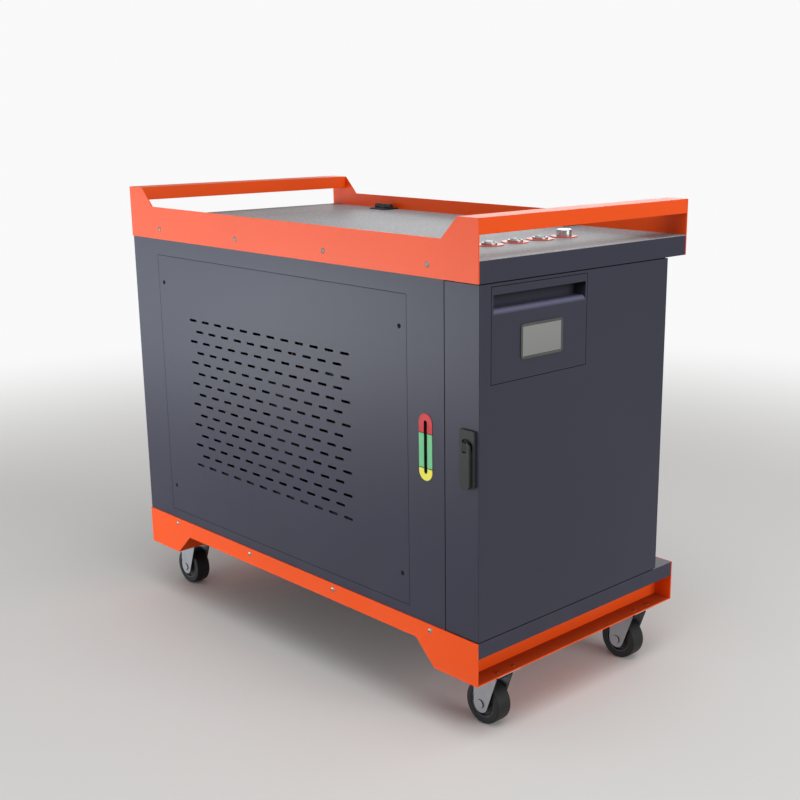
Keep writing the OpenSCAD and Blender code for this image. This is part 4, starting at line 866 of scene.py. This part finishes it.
class Workshop:
    """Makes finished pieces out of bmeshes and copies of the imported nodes."""

    def __init__(self, packed: dict) -> None:
        """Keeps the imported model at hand.
        """
        self.nodes: dict[str, Object] = packed["nodes"]
        groups = packed["record"]["behaviour"]["bodies"]
        self.body_of = {n: body for body, names in groups.items() for n in names}
        self.materials: dict[str, Material] = {}

    def material(self, finish: Finish) -> Material:
        """Gives a finish's material, made once.

        Args:
            finish: The finish.

        Returns:
            Its material.
        """
        if finish.name not in self.materials:
            self.materials[finish.name] = finish.build()
        return self.materials[finish.name]

    def dress(self, finish: Finish, *nodes: str) -> None:
        """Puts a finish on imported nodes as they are.

        Args:
            finish: The finish.
            *nodes: The nodes' names.
        """
        for name in nodes:
            mesh = self.nodes[name].data
            mesh.materials.clear()
            mesh.materials.append(self.material(finish))
            log.info("dressed %s in %s", name, finish.name)

    def copy(self, node: str, keep: Callable[[Vector], bool] | None = None) -> BMesh:
        """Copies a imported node's mesh, merged and with its flat faces joined.

        Args:
            node: The node.
            keep: Which vertices stay, for a node of several solids.

        Returns:
            The copy.
        """
        bm = bmesh.new()
        bm.from_mesh(self.nodes[node].data)
        bmesh.ops.remove_doubles(bm, verts=bm.verts, dist=NODE_MERGE)
        if keep is not None:
            gone = [v for v in bm.verts if not keep(v.co)]
            bmesh.ops.delete(bm, geom=gone, context="VERTS")
        bmesh.ops.dissolve_limit(bm, angle_limit=FLAT_ANGLE, verts=bm.verts, edges=bm.edges)
        return bm

    def soften(
        self,
        finish: Finish,
        edge: Edge,
        *nodes: str,
        keep: Callable[[Vector], bool] | None = None,
        name: str | None = None,
    ) -> None:
        """Makes copies of nodes with rolled edges, which then stand for them.

        Args:
            finish: The pieces' finish.
            edge: Their rolled edge.
            *nodes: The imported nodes.
            keep: Which vertices a piece keeps, if not all.
            name: The piece's name, if it isn't the node's.
        """
        width, steps = edge.value
        for node in nodes:
            bm = self.copy(node, keep)
            sharp = [e for e in bm.edges if e.is_manifold and e.calc_face_angle(0.0) > ROLLED_ANGLE]
            bmesh.ops.bevel(
                bm,
                geom=sharp,
                offset=width * MM,
                offset_type="OFFSET",
                segments=steps,
                profile=0.5,
                affect="EDGES",
                clamp_overlap=True,
                material=-1,
            )
            self.piece(bm, name or f"{node}_finished", self.body_of[node], finish, (node,))

    def piece(
        self,
        bm: BMesh,
        name: str,
        body: str,
        finish: Finish,
        stands_for: Iterable[str] = (),
        outwards: bool = False,
    ) -> None:
        """Turns a bmesh into a piece that rides on a body.

        Args:
            bm: The mesh, in the machine's own frame.
            name: The piece's name.
            body: The body that it rides on.
            finish: Its finish.
            stands_for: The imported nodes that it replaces.
            outwards: Whether its normals are worked out again.
        """
        if outwards:
            bmesh.ops.remove_doubles(bm, verts=bm.verts, dist=PIECE_MERGE)
            bmesh.ops.recalc_face_normals(bm, faces=bm.faces)
        for face in bm.faces:
            face.smooth = True
        mesh = bpy.data.meshes.new(name)
        bm.to_mesh(mesh)
        bm.free()
        mesh.set_sharp_from_angle(angle=SHARP_ANGLE)
        mesh.materials.append(self.material(finish))
        made = bpy.data.objects.new(name, mesh)
        bpy.context.scene.collection.objects.link(made)
        even = made.modifiers.new("even_normals", "WEIGHTED_NORMAL")
        even.keep_sharp = True
        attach(made, body)
        names = tuple(stands_for)
        if names:
            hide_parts(*names)
        log.info("made %s on %s in %s", name, body, finish.name)


def lay(place: Vector, axis: Axis) -> Matrix:
    """Gives the matrix that lays a turned piece's own Z along an axis at a place."""
    turn = Vector(Axis.UP.value).rotation_difference(Vector(axis.value)).to_matrix().to_4x4()
    return Matrix.Translation(place) @ turn


def lathe(bm: BMesh, profile: Profile, where: Matrix, steps: int = 48) -> list[BMVert]:
    """Turns a profile about its own Z axis and lays it in place.

    Args:
        bm: The mesh that it joins.
        profile: Radius and height of each point, in millimetres.
        where: The matrix that lays it in place.
        steps: The steps round the axis.

    Returns:
        The new vertices.
    """
    before = set(bm.verts)
    points = [bm.verts.new((r * MM, 0, h * MM)) for r, h in profile]
    edges = [bm.edges.new(pair) for pair in zip(points, points[1:])]
    bmesh.ops.spin(
        bm,
        geom=points + edges,
        cent=(0, 0, 0),
        axis=(0, 0, 1),
        angle=math.tau,
        steps=steps,
        use_merge=True,
    )
    new = [v for v in bm.verts if v not in before]
    bmesh.ops.remove_doubles(bm, verts=new, dist=LATHE_MERGE)
    new = [v for v in bm.verts if v not in before]
    bmesh.ops.transform(bm, matrix=where, verts=new)
    return new


def arc(centre: Span, radius: float, start: float, end: float, steps: int) -> Profile:
    """Lists the points of a profile's round corner, from one angle in degrees to another."""
    turn = [math.radians(start + (end - start) * i / steps) for i in range(steps + 1)]
    return [(centre[0] + radius * math.cos(a), centre[1] + radius * math.sin(a)) for a in turn]


def dome(radius: float, rise: float, top: float, start: float = 0.0) -> Profile:
    """Lists the points of a profile's domed face, from the middle outwards.

    Args:
        radius: The face's radius.
        rise: How much higher its middle is than its rim.
        top: The height of its middle.
        start: The radius that it starts at.

    Returns:
        The points.
    """
    sphere = (radius * radius + rise * rise) / (2 * rise)
    radii = [start + (radius - start) * i / DOME_STEPS for i in range(DOME_STEPS + 1)]
    return [(r, top - sphere + math.sqrt(sphere * sphere - r * r)) for r in radii]


def mirrored(half: Profile) -> Profile:
    """Closes half a section with its mirror image across the middle of the axle."""
    return [*half, *[(r, -h) for r, h in reversed(half)], half[0]]


@dataclass
class Assembly:
    """A part of the machine that is made in one go."""

    shop: Workshop

    def build(self) -> None:
        """Makes and dresses its pieces."""
        raise NotImplementedError


@dataclass
class Trolley(Assembly):
    """The wheeled frame: pan, side plates, cross members and the upper frame with its bars."""

    def build(self) -> None:
        """Rolls the edges of every painted plate and paints it."""
        plates = ("side_plate_left", "side_plate_right", "upper_plate_left", "upper_plate_right")
        self.shop.soften(GREY, Edge.PLATE, "base_pan")
        self.shop.soften(ORANGE, Edge.PLATE, *plates, "handle_bars")
        self.shop.soften(CHANNEL, Edge.PLATE, "cross_members")


@dataclass
class Casters(Assembly):
    """The four swivel casters: pressed forks, rubber tyres and moulded hubs with bosses."""

    wheel_r: float = 40.0
    half_w: float = 16.5
    rim_r: float = 27.5
    bore_r: float = 5.06
    spot: Span = CASTER_SPOT
    trail: float = 11.0
    lip: float = 1.2
    bead: float = 1.0
    wall: float = 3.4
    shoulder: float = 2.6
    shoulder_r: float = 2.2
    shoulder_steps: int = 5
    crown: float = 5.5
    boss: tuple[Span, ...] = ((0, 0.3), (4.5, 0.3), (6, 1.5), (7.5, 6))
    web: tuple[Span, ...] = ((4, 7.5), (2.2, 1.4), (0, 1.2))
    tyre_steps: int = 96
    hub_steps: int = 64

    def tyre_profile(self) -> Profile:
        """Gives the tyre's closed section as radius and place along the axle.

        Returns:
            The section's points.
        """
        r, face = self.wheel_r, -self.half_w
        corner = (r - self.shoulder, face + self.shoulder)
        return mirrored(
            [
                (self.rim_r, face + self.lip),
                (self.rim_r + self.bead, face),
                (r - self.wall, face),
                *arc(corner, self.shoulder_r, -90, 0, self.shoulder_steps)[1:],
                (r, face + self.crown),
            ]
        )

    def hub_profile(self) -> Profile:
        """Gives the hub's closed section, with a boss outside the bore and a web under the rim.

        Returns:
            The section's points.
        """
        face = -self.half_w
        boss = [(self.bore_r + out, face + depth) for out, depth in self.boss]
        web = [(self.rim_r - under, face + depth) for under, depth in self.web]
        return mirrored([*boss, *web])

    def build(self) -> None:
        """Makes the wheels and softens the forks and plates."""
        self.shop.soften(ZINC, Edge.STAMPED, "caster_plates")
        for end, side in product(End, Side):
            corner = f"{end.name.lower()}_{side.name.lower()}"
            across, along = side.value * self.spot[0], end.value * self.spot[1] + self.trail
            where = lay(Vector((across, along, self.wheel_r)) * MM, Axis.RIGHT)
            wheel = f"wheel_{corner}"
            tyre = bmesh.new()
            lathe(tyre, self.tyre_profile(), where, self.tyre_steps)
            self.shop.piece(tyre, f"tyre_{corner}", wheel, TYRE, (wheel,), outwards=True)
            hub = bmesh.new()
            lathe(hub, self.hub_profile(), where, self.hub_steps)
            self.shop.piece(hub, f"hub_{corner}", wheel, HUB, outwards=True)
            self.shop.soften(FORK_ZINC, Edge.PRESSED, f"fork_{corner}")


@dataclass(frozen=True)
class Screw:
    """A button-head screw with a hex socket, its sizes in millimetres."""

    head_r: float = 5.2
    head_h: float = 2.6
    length: float = 9.0
    shank_r: float = 2.5
    socket_share: float = 0.38
    floor_share: float = 0.35
    steps: int = 24

    def profile(self) -> Profile:
        """Gives the screw's profile, socket first.

        Returns:
            The profile's points.
        """
        socket, floor = self.socket_share * self.head_r, self.floor_share * self.head_h
        return [
            (0, floor),
            (socket, floor),
            *dome(self.head_r, self.head_h, self.head_h, socket),
            (self.shank_r, 0),
            (self.shank_r, -self.length),
            (0, -self.length),
        ]

    def build(self, bm: BMesh, where: Matrix) -> None:
        """Adds the screw to a mesh and squares its round socket to a hexagon.

        Args:
            bm: The mesh that it joins.
            where: Its place.
        """
        inverse = where.inverted()
        socket = self.socket_share * self.head_r * MM
        for vert in lathe(bm, self.profile(), where, self.steps):
            local = inverse @ vert.co
            if abs(math.hypot(local.x, local.y) - socket) < NEAR:
                turn = math.atan2(local.y, local.x) % SIXTH - SIXTH / 2
                factor = math.cos(SIXTH / 2) / math.cos(turn)
                vert.co = where @ Vector((local.x * factor, local.y * factor, local.z))


@dataclass
class Fasteners(Assembly):
    """Bright side screws, caster bolts with their nuts, and small black screws on the vent panel."""

    side_screw: Screw = Screw()
    vent_screw: Screw = Screw(head_r=4.4, head_h=1.3)
    half_width: float = 275.0
    rows: Span = (179.0, 818.5)
    along: tuple[float, ...] = (-398.7, -130.4, 137.9, 406.2)
    vent_x: float = -272.5
    vent_y: Span = (-326.0, 405.5)
    vent_z: Span = (266.0, 708.5)
    caster: Span = CASTER_SPOT
    bolt: Span = (20.0, 30.0)
    foot_top: float = 114.0
    plate_under: float = 109.0
    nut_r: float = 4.75
    nut_h: float = 4.0
    nut_face_r: float = 4.085
    nut_chamfer: float = 0.5

    def nut(self, bm: BMesh, where: Matrix) -> None:
        """Adds a hexagonal nut with a chamfered lower face to a mesh."""
        r, h = self.nut_r, self.nut_h
        lathe(bm, [(0, 0), (self.nut_face_r, 0), (r, self.nut_chamfer), (r, h), (0, h)], where, HEX)

    def build(self) -> None:
        """Makes the side screws, the caster bolts and the vent panel's screws."""
        bright = bmesh.new()
        for side, y, z in product(Side, self.along, self.rows):
            spot = Vector((side.value * self.half_width, y, z)) * MM
            self.side_screw.build(bright, lay(spot, Axis[side.name]))
        self.shop.piece(bright, "screws_bright", "cabinet", SCREW_STEEL, ("screws",), outwards=True)
        bolts = bmesh.new()
        bolt = replace(self.side_screw, length=self.foot_top - self.plate_under + self.nut_h)
        for sx, sy, bx, by in product((-1, 1), repeat=4):
            x = sx * self.caster[0] + bx * self.bolt[0]
            y = sy * self.caster[1] + by * self.bolt[1]
            bolt.build(bolts, lay(Vector((x, y, self.foot_top)) * MM, Axis.UP))
            self.nut(bolts, lay(Vector((x, y, self.plate_under - self.nut_h)) * MM, Axis.UP))
        self.shop.piece(bolts, "caster_bolts", "cabinet", SHADED_OVERSPRAY, outwards=True)
        black = bmesh.new()
        for y, z in product(self.vent_y, self.vent_z):
            self.vent_screw.build(black, lay(Vector((self.vent_x, y, z)) * MM, Axis.LEFT))
        self.shop.piece(black, "screws_black", "cabinet", INK, outwards=True)


@dataclass
class Cabinet(Assembly):
    """The cabinet's skins, its textured cover and inner frame, and the level gauge."""

    strip_x: float = -0.27245

    def build(self) -> None:
        """Softens the skins' edges, paints them and splits the gauge into strip and tube."""
        soften = self.shop.soften
        soften(SKIN, Edge.SKIN, "left_panel", "vent_panel")
        soften(GREY, Edge.SKIN, "right_panel", "rear_panel")
        soften(COVER, Edge.COVER, "top_cover")
        self.shop.dress(FRAME_GREY, "cabinet_frame")
        for finish, name, keep in (
            (BANDS, "gauge_strip", lambda c: c.x < self.strip_x),
            (TUBE, "gauge_tube", lambda c: c.x > self.strip_x),
        ):
            soften(finish, Edge.STAMPED, "level_gauge", keep=keep, name=name)


@dataclass
class Hatch(Assembly):
    """The service hatch in the cover and its black hinge blocks."""

    def build(self) -> None:
        """Softens the hatch and its hinges."""
        self.shop.soften(COVER, Edge.TRIMMED, "service_hatch")
        self.shop.soften(BLACK, Edge.TRIMMED, "hatch_hinge_bases", "hatch_hinge_leaves")


@dataclass
class Door(Assembly):
    """The wrap-round front door with its display surround, screen, hinges and control board."""

    def build(self) -> None:
        """Rolls the door's folds and dresses what it carries."""
        self.shop.soften(DOOR, Edge.FOLD, "front_door")
        self.shop.soften(SURROUND, Edge.SURROUND, "display_surround")
        self.shop.soften(BEZEL, Edge.HOUSING, "screen_housing")
        self.shop.soften(SCREEN, Edge.GLASS, "screen_glass")
        self.shop.soften(ZINC, Edge.STAMPED, "door_hinge_bases", "door_hinge_leaves")
        self.shop.dress(BOARD, "control_board")


@dataclass
class Lock(Assembly):
    """The swing-handle lock on the door's left side: plate, lever and spindle with its hook cam."""

    def build(self) -> None:
        """Rounds the mouldings' edges well and the spindle's slightly."""
        self.shop.soften(LOCK_BLACK, Edge.LOCK_PLATE, "lock_plate")
        self.shop.soften(LOCK_BLACK, Edge.LEVER, "lock_lever")
        self.shop.soften(SPINDLE, Edge.GLASS, "lock_spindle")


@dataclass
class Controls(Assembly):
    """The five controls on the cover: stop button, three push buttons and the key switch."""

    spots: tuple[float, ...] = (-172.1, -106.8, -41.5, 23.8, 89.1)
    row_y: float = -376.0
    cover_z: float = 834.5
    collar_t: float = 1.5
    ring_h: float = 3.2
    cap_out: float = 2.6
    cap_r: float = 9.6
    foot: float = -2.9
    centre_r: float = 7.4
    lip: tuple[Span, ...] = ((0.0, 1.0), (0.4, 0.5), (1.0, 0.45))
    corner_r: float = 1.2
    corner_drop: float = 1.9
    corner_from: float = 80.0
    corner_steps: int = 5
    gap: float = 0.15
    dome_h: float = 1.0
    centre_foot: float = -1.9

    def cap(self, name: str, index: int, lens: Finish) -> None:
        """Makes a push button: a bright rim with a domed centre of its own.

        Args:
            name: The button's body and node.
            index: Its place in the row.
            lens: The centre's finish.
        """
        where = lay(Vector((self.spots[index], self.row_y, self.cover_z)) * MM, Axis.UP)
        top = self.collar_t + self.ring_h + self.cap_out
        lip = [(self.centre_r + out, top - drop) for out, drop in self.lip]
        corner = (self.cap_r - self.corner_r, top - self.corner_drop)
        rounded = arc(corner, self.corner_r, self.corner_from, 0, self.corner_steps)
        inside = (self.centre_r, self.foot)
        rim = bmesh.new()
        lathe(rim, [*lip, *rounded, (self.cap_r, self.foot), inside, lip[0]], where)
        self.shop.piece(rim, f"{name}_rim", name, SATIN, (name,), outwards=True)
        r = self.centre_r - self.gap
        centre = bmesh.new()
        face = dome(r, self.dome_h, top)
        lathe(centre, [*face, (r, self.centre_foot), (0, self.centre_foot)], where)
        self.shop.piece(centre, f"{name}_centre", name, lens, outwards=True)

    def build(self) -> None:
        """Makes the caps and softens the rest."""
        self.shop.soften(COLLAR, Edge.COLLAR, "control_collars")
        self.shop.soften(SATIN, Edge.FOLD, "switch_bodies")
        self.cap("button_left", 1, POLISHED)
        self.cap("button_middle", 2, LENS)
        self.cap("button_right", 3, LENS)
        self.shop.soften(RED, Edge.PRESSED, "stop_button")
        self.shop.soften(POLISHED, Edge.TRIMMED, "key_barrel")


@dataclass
class Chiller(Assembly):
    """The cooling unit: tank, pump, compressor, condenser with return bends, fan, pipes, hoses."""

    condenser_x: Span = (-216.5, 163.5)
    condenser_y: float = 379.0
    condenser_z: Span = (361.5, 370.0)
    rows: int = 8
    tube_r: float = 5.0
    reach: float = 3.0
    steps: int = 12

    def bend(self, bm: BMesh, x: float, z: float, pitch: float, side: Side) -> None:
        """Adds one return bend between two tube ends.

        Args:
            bm: The mesh that it joins.
            x: Where the tubes end.
            z: The height of the bend's middle.
            pitch: The pitch of the tubes.
            side: The side that it bulges to.
        """
        before = set(bm.verts)
        end = Matrix.Translation(Vector((x, self.condenser_y, z - pitch / 2)) * MM)
        ring = bmesh.ops.create_circle(
            bm,
            cap_ends=False,
            segments=self.steps,
            radius=self.tube_r * MM,
            matrix=end @ Matrix.Rotation(math.pi / 2, 4, "Y"),
        )
        edges = list({e for v in ring["verts"] for e in v.link_edges})
        bmesh.ops.spin(
            bm,
            geom=ring["verts"] + edges,
            cent=Vector((x, self.condenser_y, z)) * MM,
            axis=(0, -side.value, 0),
            angle=math.pi,
            steps=self.steps,
        )
        new = [v for v in bm.verts if v not in before]
        rims = {e for v in new for e in v.link_edges if e.is_boundary}
        bmesh.ops.holes_fill(bm, edges=list(rims), sides=self.steps)

    def build(self) -> None:
        """Dresses the units and adds the condenser's return bends."""
        shop = self.shop
        shop.soften(TANK, Edge.TANK, "water_tank")
        shop.soften(BLACK, Edge.COVER, "tank_cap")
        shop.dress(BLACK, "compressor", "pump", "fan_rotor")
        shop.dress(FRAME_GREY, "fan_shroud")
        shop.dress(FIN_BLACK, "condenser")
        shop.dress(COPPER, "refrigerant_pipes")
        shop.dress(HOSE, "water_hoses")
        foot, height = self.condenser_z
        pitch = height / self.rows
        for first, (side, sheet) in enumerate(zip(Side, self.condenser_x)):
            bends = bmesh.new()
            for row in range(first + 1, self.rows, 2):
                x = sheet + side.value * self.reach
                self.bend(bends, x, foot + row * pitch, pitch, side)
            name = f"condenser_bends_{side.name.lower()}"
            shop.piece(bends, name, "cabinet", COPPER, outwards=True)


@dataclass
class Electronics(Assembly):
    """The shelf, the laser source and the power supplies."""

    def build(self) -> None:
        """Dresses the shelf and the cases."""
        self.shop.dress(FRAME_GREY, "equipment_shelf")
        self.shop.soften(ALUMINIUM, Edge.CASE, "laser_source")
        self.shop.dress(ALUMINIUM, "power_supplies")


@dataclass
class RearFittings(Assembly):
    """Cable glands, gas inlet, drain plug and the main breaker."""

    def build(self) -> None:
        """Softens the fittings' edges."""
        self.shop.soften(BLACK, Edge.GLAND, "cable_glands")
        self.shop.soften(BRASS, Edge.TRIMMED, "pipe_fittings")
        self.shop.soften(BLACK, Edge.COVER, "main_breaker")
        self.shop.soften(BLACK, Edge.PRESSED, "breaker_toggle")


@dataclass(frozen=True)
class Lamp:
    """A soft area lamp that looks at the machine."""

    name: str
    place: tuple[float, float, float]
    size: Span
    power: float
    target: tuple[float, float, float] = (0.0, 0.0, 0.5)
    tint: Colour = WHITE
    rim: bool = False

    def build(self, floor: Collection) -> None:
        """Adds the lamp to the scene.

        Args:
            floor: What a rim lamp leaves unlit.
        """
        light = bpy.data.lights.new(self.name, "AREA")
        light.shape = "RECTANGLE"
        light.color = self.tint
        light.size, light.size_y = self.size
        light.energy = self.power
        made = bpy.data.objects.new(self.name, light)
        made.location = self.place
        aim = Vector(self.target) - Vector(self.place)
        made.rotation_euler = aim.to_track_quat("-Z", "Y").to_euler()
        if self.rim:
            made.light_linking.receiver_collection = floor
        bpy.context.scene.collection.objects.link(made)


@dataclass
class Studio:
    """The plain pale floor that fades into a white room, the lamps and the camera."""

    floor_colour: Colour = srgb(243, 242, 240)
    floor_tone: float = 0.985
    floor_clouds: float = 0.8
    floor_roughness: Span = (0.75, 0.9)
    floor_grain: float = 0.02
    half: float = 30.0
    fade: Span = (1.2, 3.4)
    white: float = 0.95
    world_level: float = 0.36
    gloss_level: float = 0.54
    sensor: float = 36.0
    focal: float = 55.5
    shift: Span = (-0.0839, 0.0321)
    stand: tuple[float, float, float] = (-1.6365, -1.8533, 1.0729)
    turn: tuple[float, float, float] = (75.27, 0.0, -44.97)
    lamps: tuple[Lamp, ...] = (
        Lamp("left_lamp", (-6.5, -0.6, 2.2), (4.0, 3.0), 37.0),
        Lamp("front_lamp", (1.4, -7.0, 1.8), (4.0, 2.6), 200.0),
        Lamp("top_lamp", (-0.8, -1.2, 4.2), (3.0, 3.0), 62.0),
        Lamp("veil_lamp", (-2.0, 1.9, 0.5), (2.5, 1.1), 30.0, (-0.3, 0.1, 0.55), COOL, rim=True),
        Lamp("low_lamp", (-1.9, 1.1, 0.3), (1.8, 0.5), 15.0, (-0.27, -0.3, 0.2), rim=True),
        Lamp("cover_lamp", (4.1, 2.7, 1.6), (3.4, 1.4), 44.0, (0.0, 0.0, 0.8), rim=True),
    )

    def paper(self) -> Material:
        """Makes the floor's material, which glows pure white far away.

        Returns:
            The paper.
        """
        g = Graph(bpy.data.materials.new("studio_paper"))
        clouds = g.noise(self.floor_clouds, SMOOTH)
        near = g.mix(clouds, self.floor_colour, scaled(self.floor_colour, self.floor_tone))
        rough = g.noise(self.floor_grain, FINE).spread(*self.floor_roughness)
        paper = g.node("ShaderNodeBsdfPrincipled", {}, {"Base Color": near, "Roughness": rough})
        distance = g.node("ShaderNodeVectorMath", {"operation": "LENGTH"}, {0: g.place()})
        far = Value(g, distance.outputs["Value"]).ramp(self.fade, shape="SMOOTHSTEP")
        seen = Value(g, g.node("ShaderNodeLightPath").outputs["Is Camera Ray"])
        glow = g.node("ShaderNodeEmission", {}, {"Color": WHITE, "Strength": self.white})
        shaders = {0: seen * far, 1: paper.outputs[0], 2: glow.outputs[0]}
        return g.close(g.node("ShaderNodeMixShader", {}, shaders))

    def floor(self) -> Collection:
        """Lays the floor, which keeps the machine's shadow.

        Returns:
            A collection that takes the floor out of a lamp's reach.
        """
        bm = bmesh.new()
        bmesh.ops.create_grid(bm, x_segments=1, y_segments=1, size=self.half)
        mesh = bpy.data.meshes.new("studio_floor")
        bm.to_mesh(mesh)
        bm.free()
        mesh.materials.append(self.paper())
        floor = bpy.data.objects.new("studio_floor", mesh)
        bpy.context.scene.collection.objects.link(floor)
        spared = bpy.data.collections.new("spared_floor")
        spared.objects.link(floor)
        spared.collection_objects[0].light_linking.link_state = "EXCLUDE"
        return spared

    def world(self) -> None:
        """Lights the room evenly and shows the camera a white background."""
        g = Graph(bpy.data.worlds.new("studio_room"))
        rays = g.node("ShaderNodeLightPath").outputs
        levels = [
            Value(g, rays[ray]) * (level - self.world_level)
            for ray, level in (
                ("Is Camera Ray", self.white),
                ("Is Glossy Ray", self.gloss_level),
                ("Is Transmission Ray", self.gloss_level),
            )
        ]
        strength = sum(levels) + self.world_level
        back = g.node("ShaderNodeBackground", {}, {"Color": WHITE, "Strength": strength})
        bpy.context.scene.world = g.close(back)

    def camera(self) -> None:
        """Stands the camera where the photograph was taken from."""
        lens = bpy.data.cameras.new("camera")
        lens.sensor_width = self.sensor
        lens.lens = self.focal
        lens.shift_x, lens.shift_y = self.shift
        made = bpy.data.objects.new("camera", lens)
        made.location = self.stand
        made.rotation_euler = [math.radians(angle) for angle in self.turn]
        bpy.context.scene.collection.objects.link(made)
        bpy.context.scene.camera = made

    def build(self) -> None:
        """Sets up the whole studio."""
        spared = self.floor()
        self.world()
        for lamp in self.lamps:
            lamp.build(spared)
        self.camera()
        bpy.context.scene.view_settings.view_transform = "Standard"


def main() -> None:
    """Builds the studio and every sub-assembly in order."""
    logging.basicConfig(level=logging.INFO, format="%(message)s")
    Studio().build()
    shop = Workshop(frame)
    for assembly in (
        Trolley,
        Casters,
        Fasteners,
        Cabinet,
        Hatch,
        Door,
        Lock,
        Controls,
        Chiller,
        Electronics,
        RearFittings,
    ):
        assembly(shop).build()


if __name__ == "__main__":
    main()
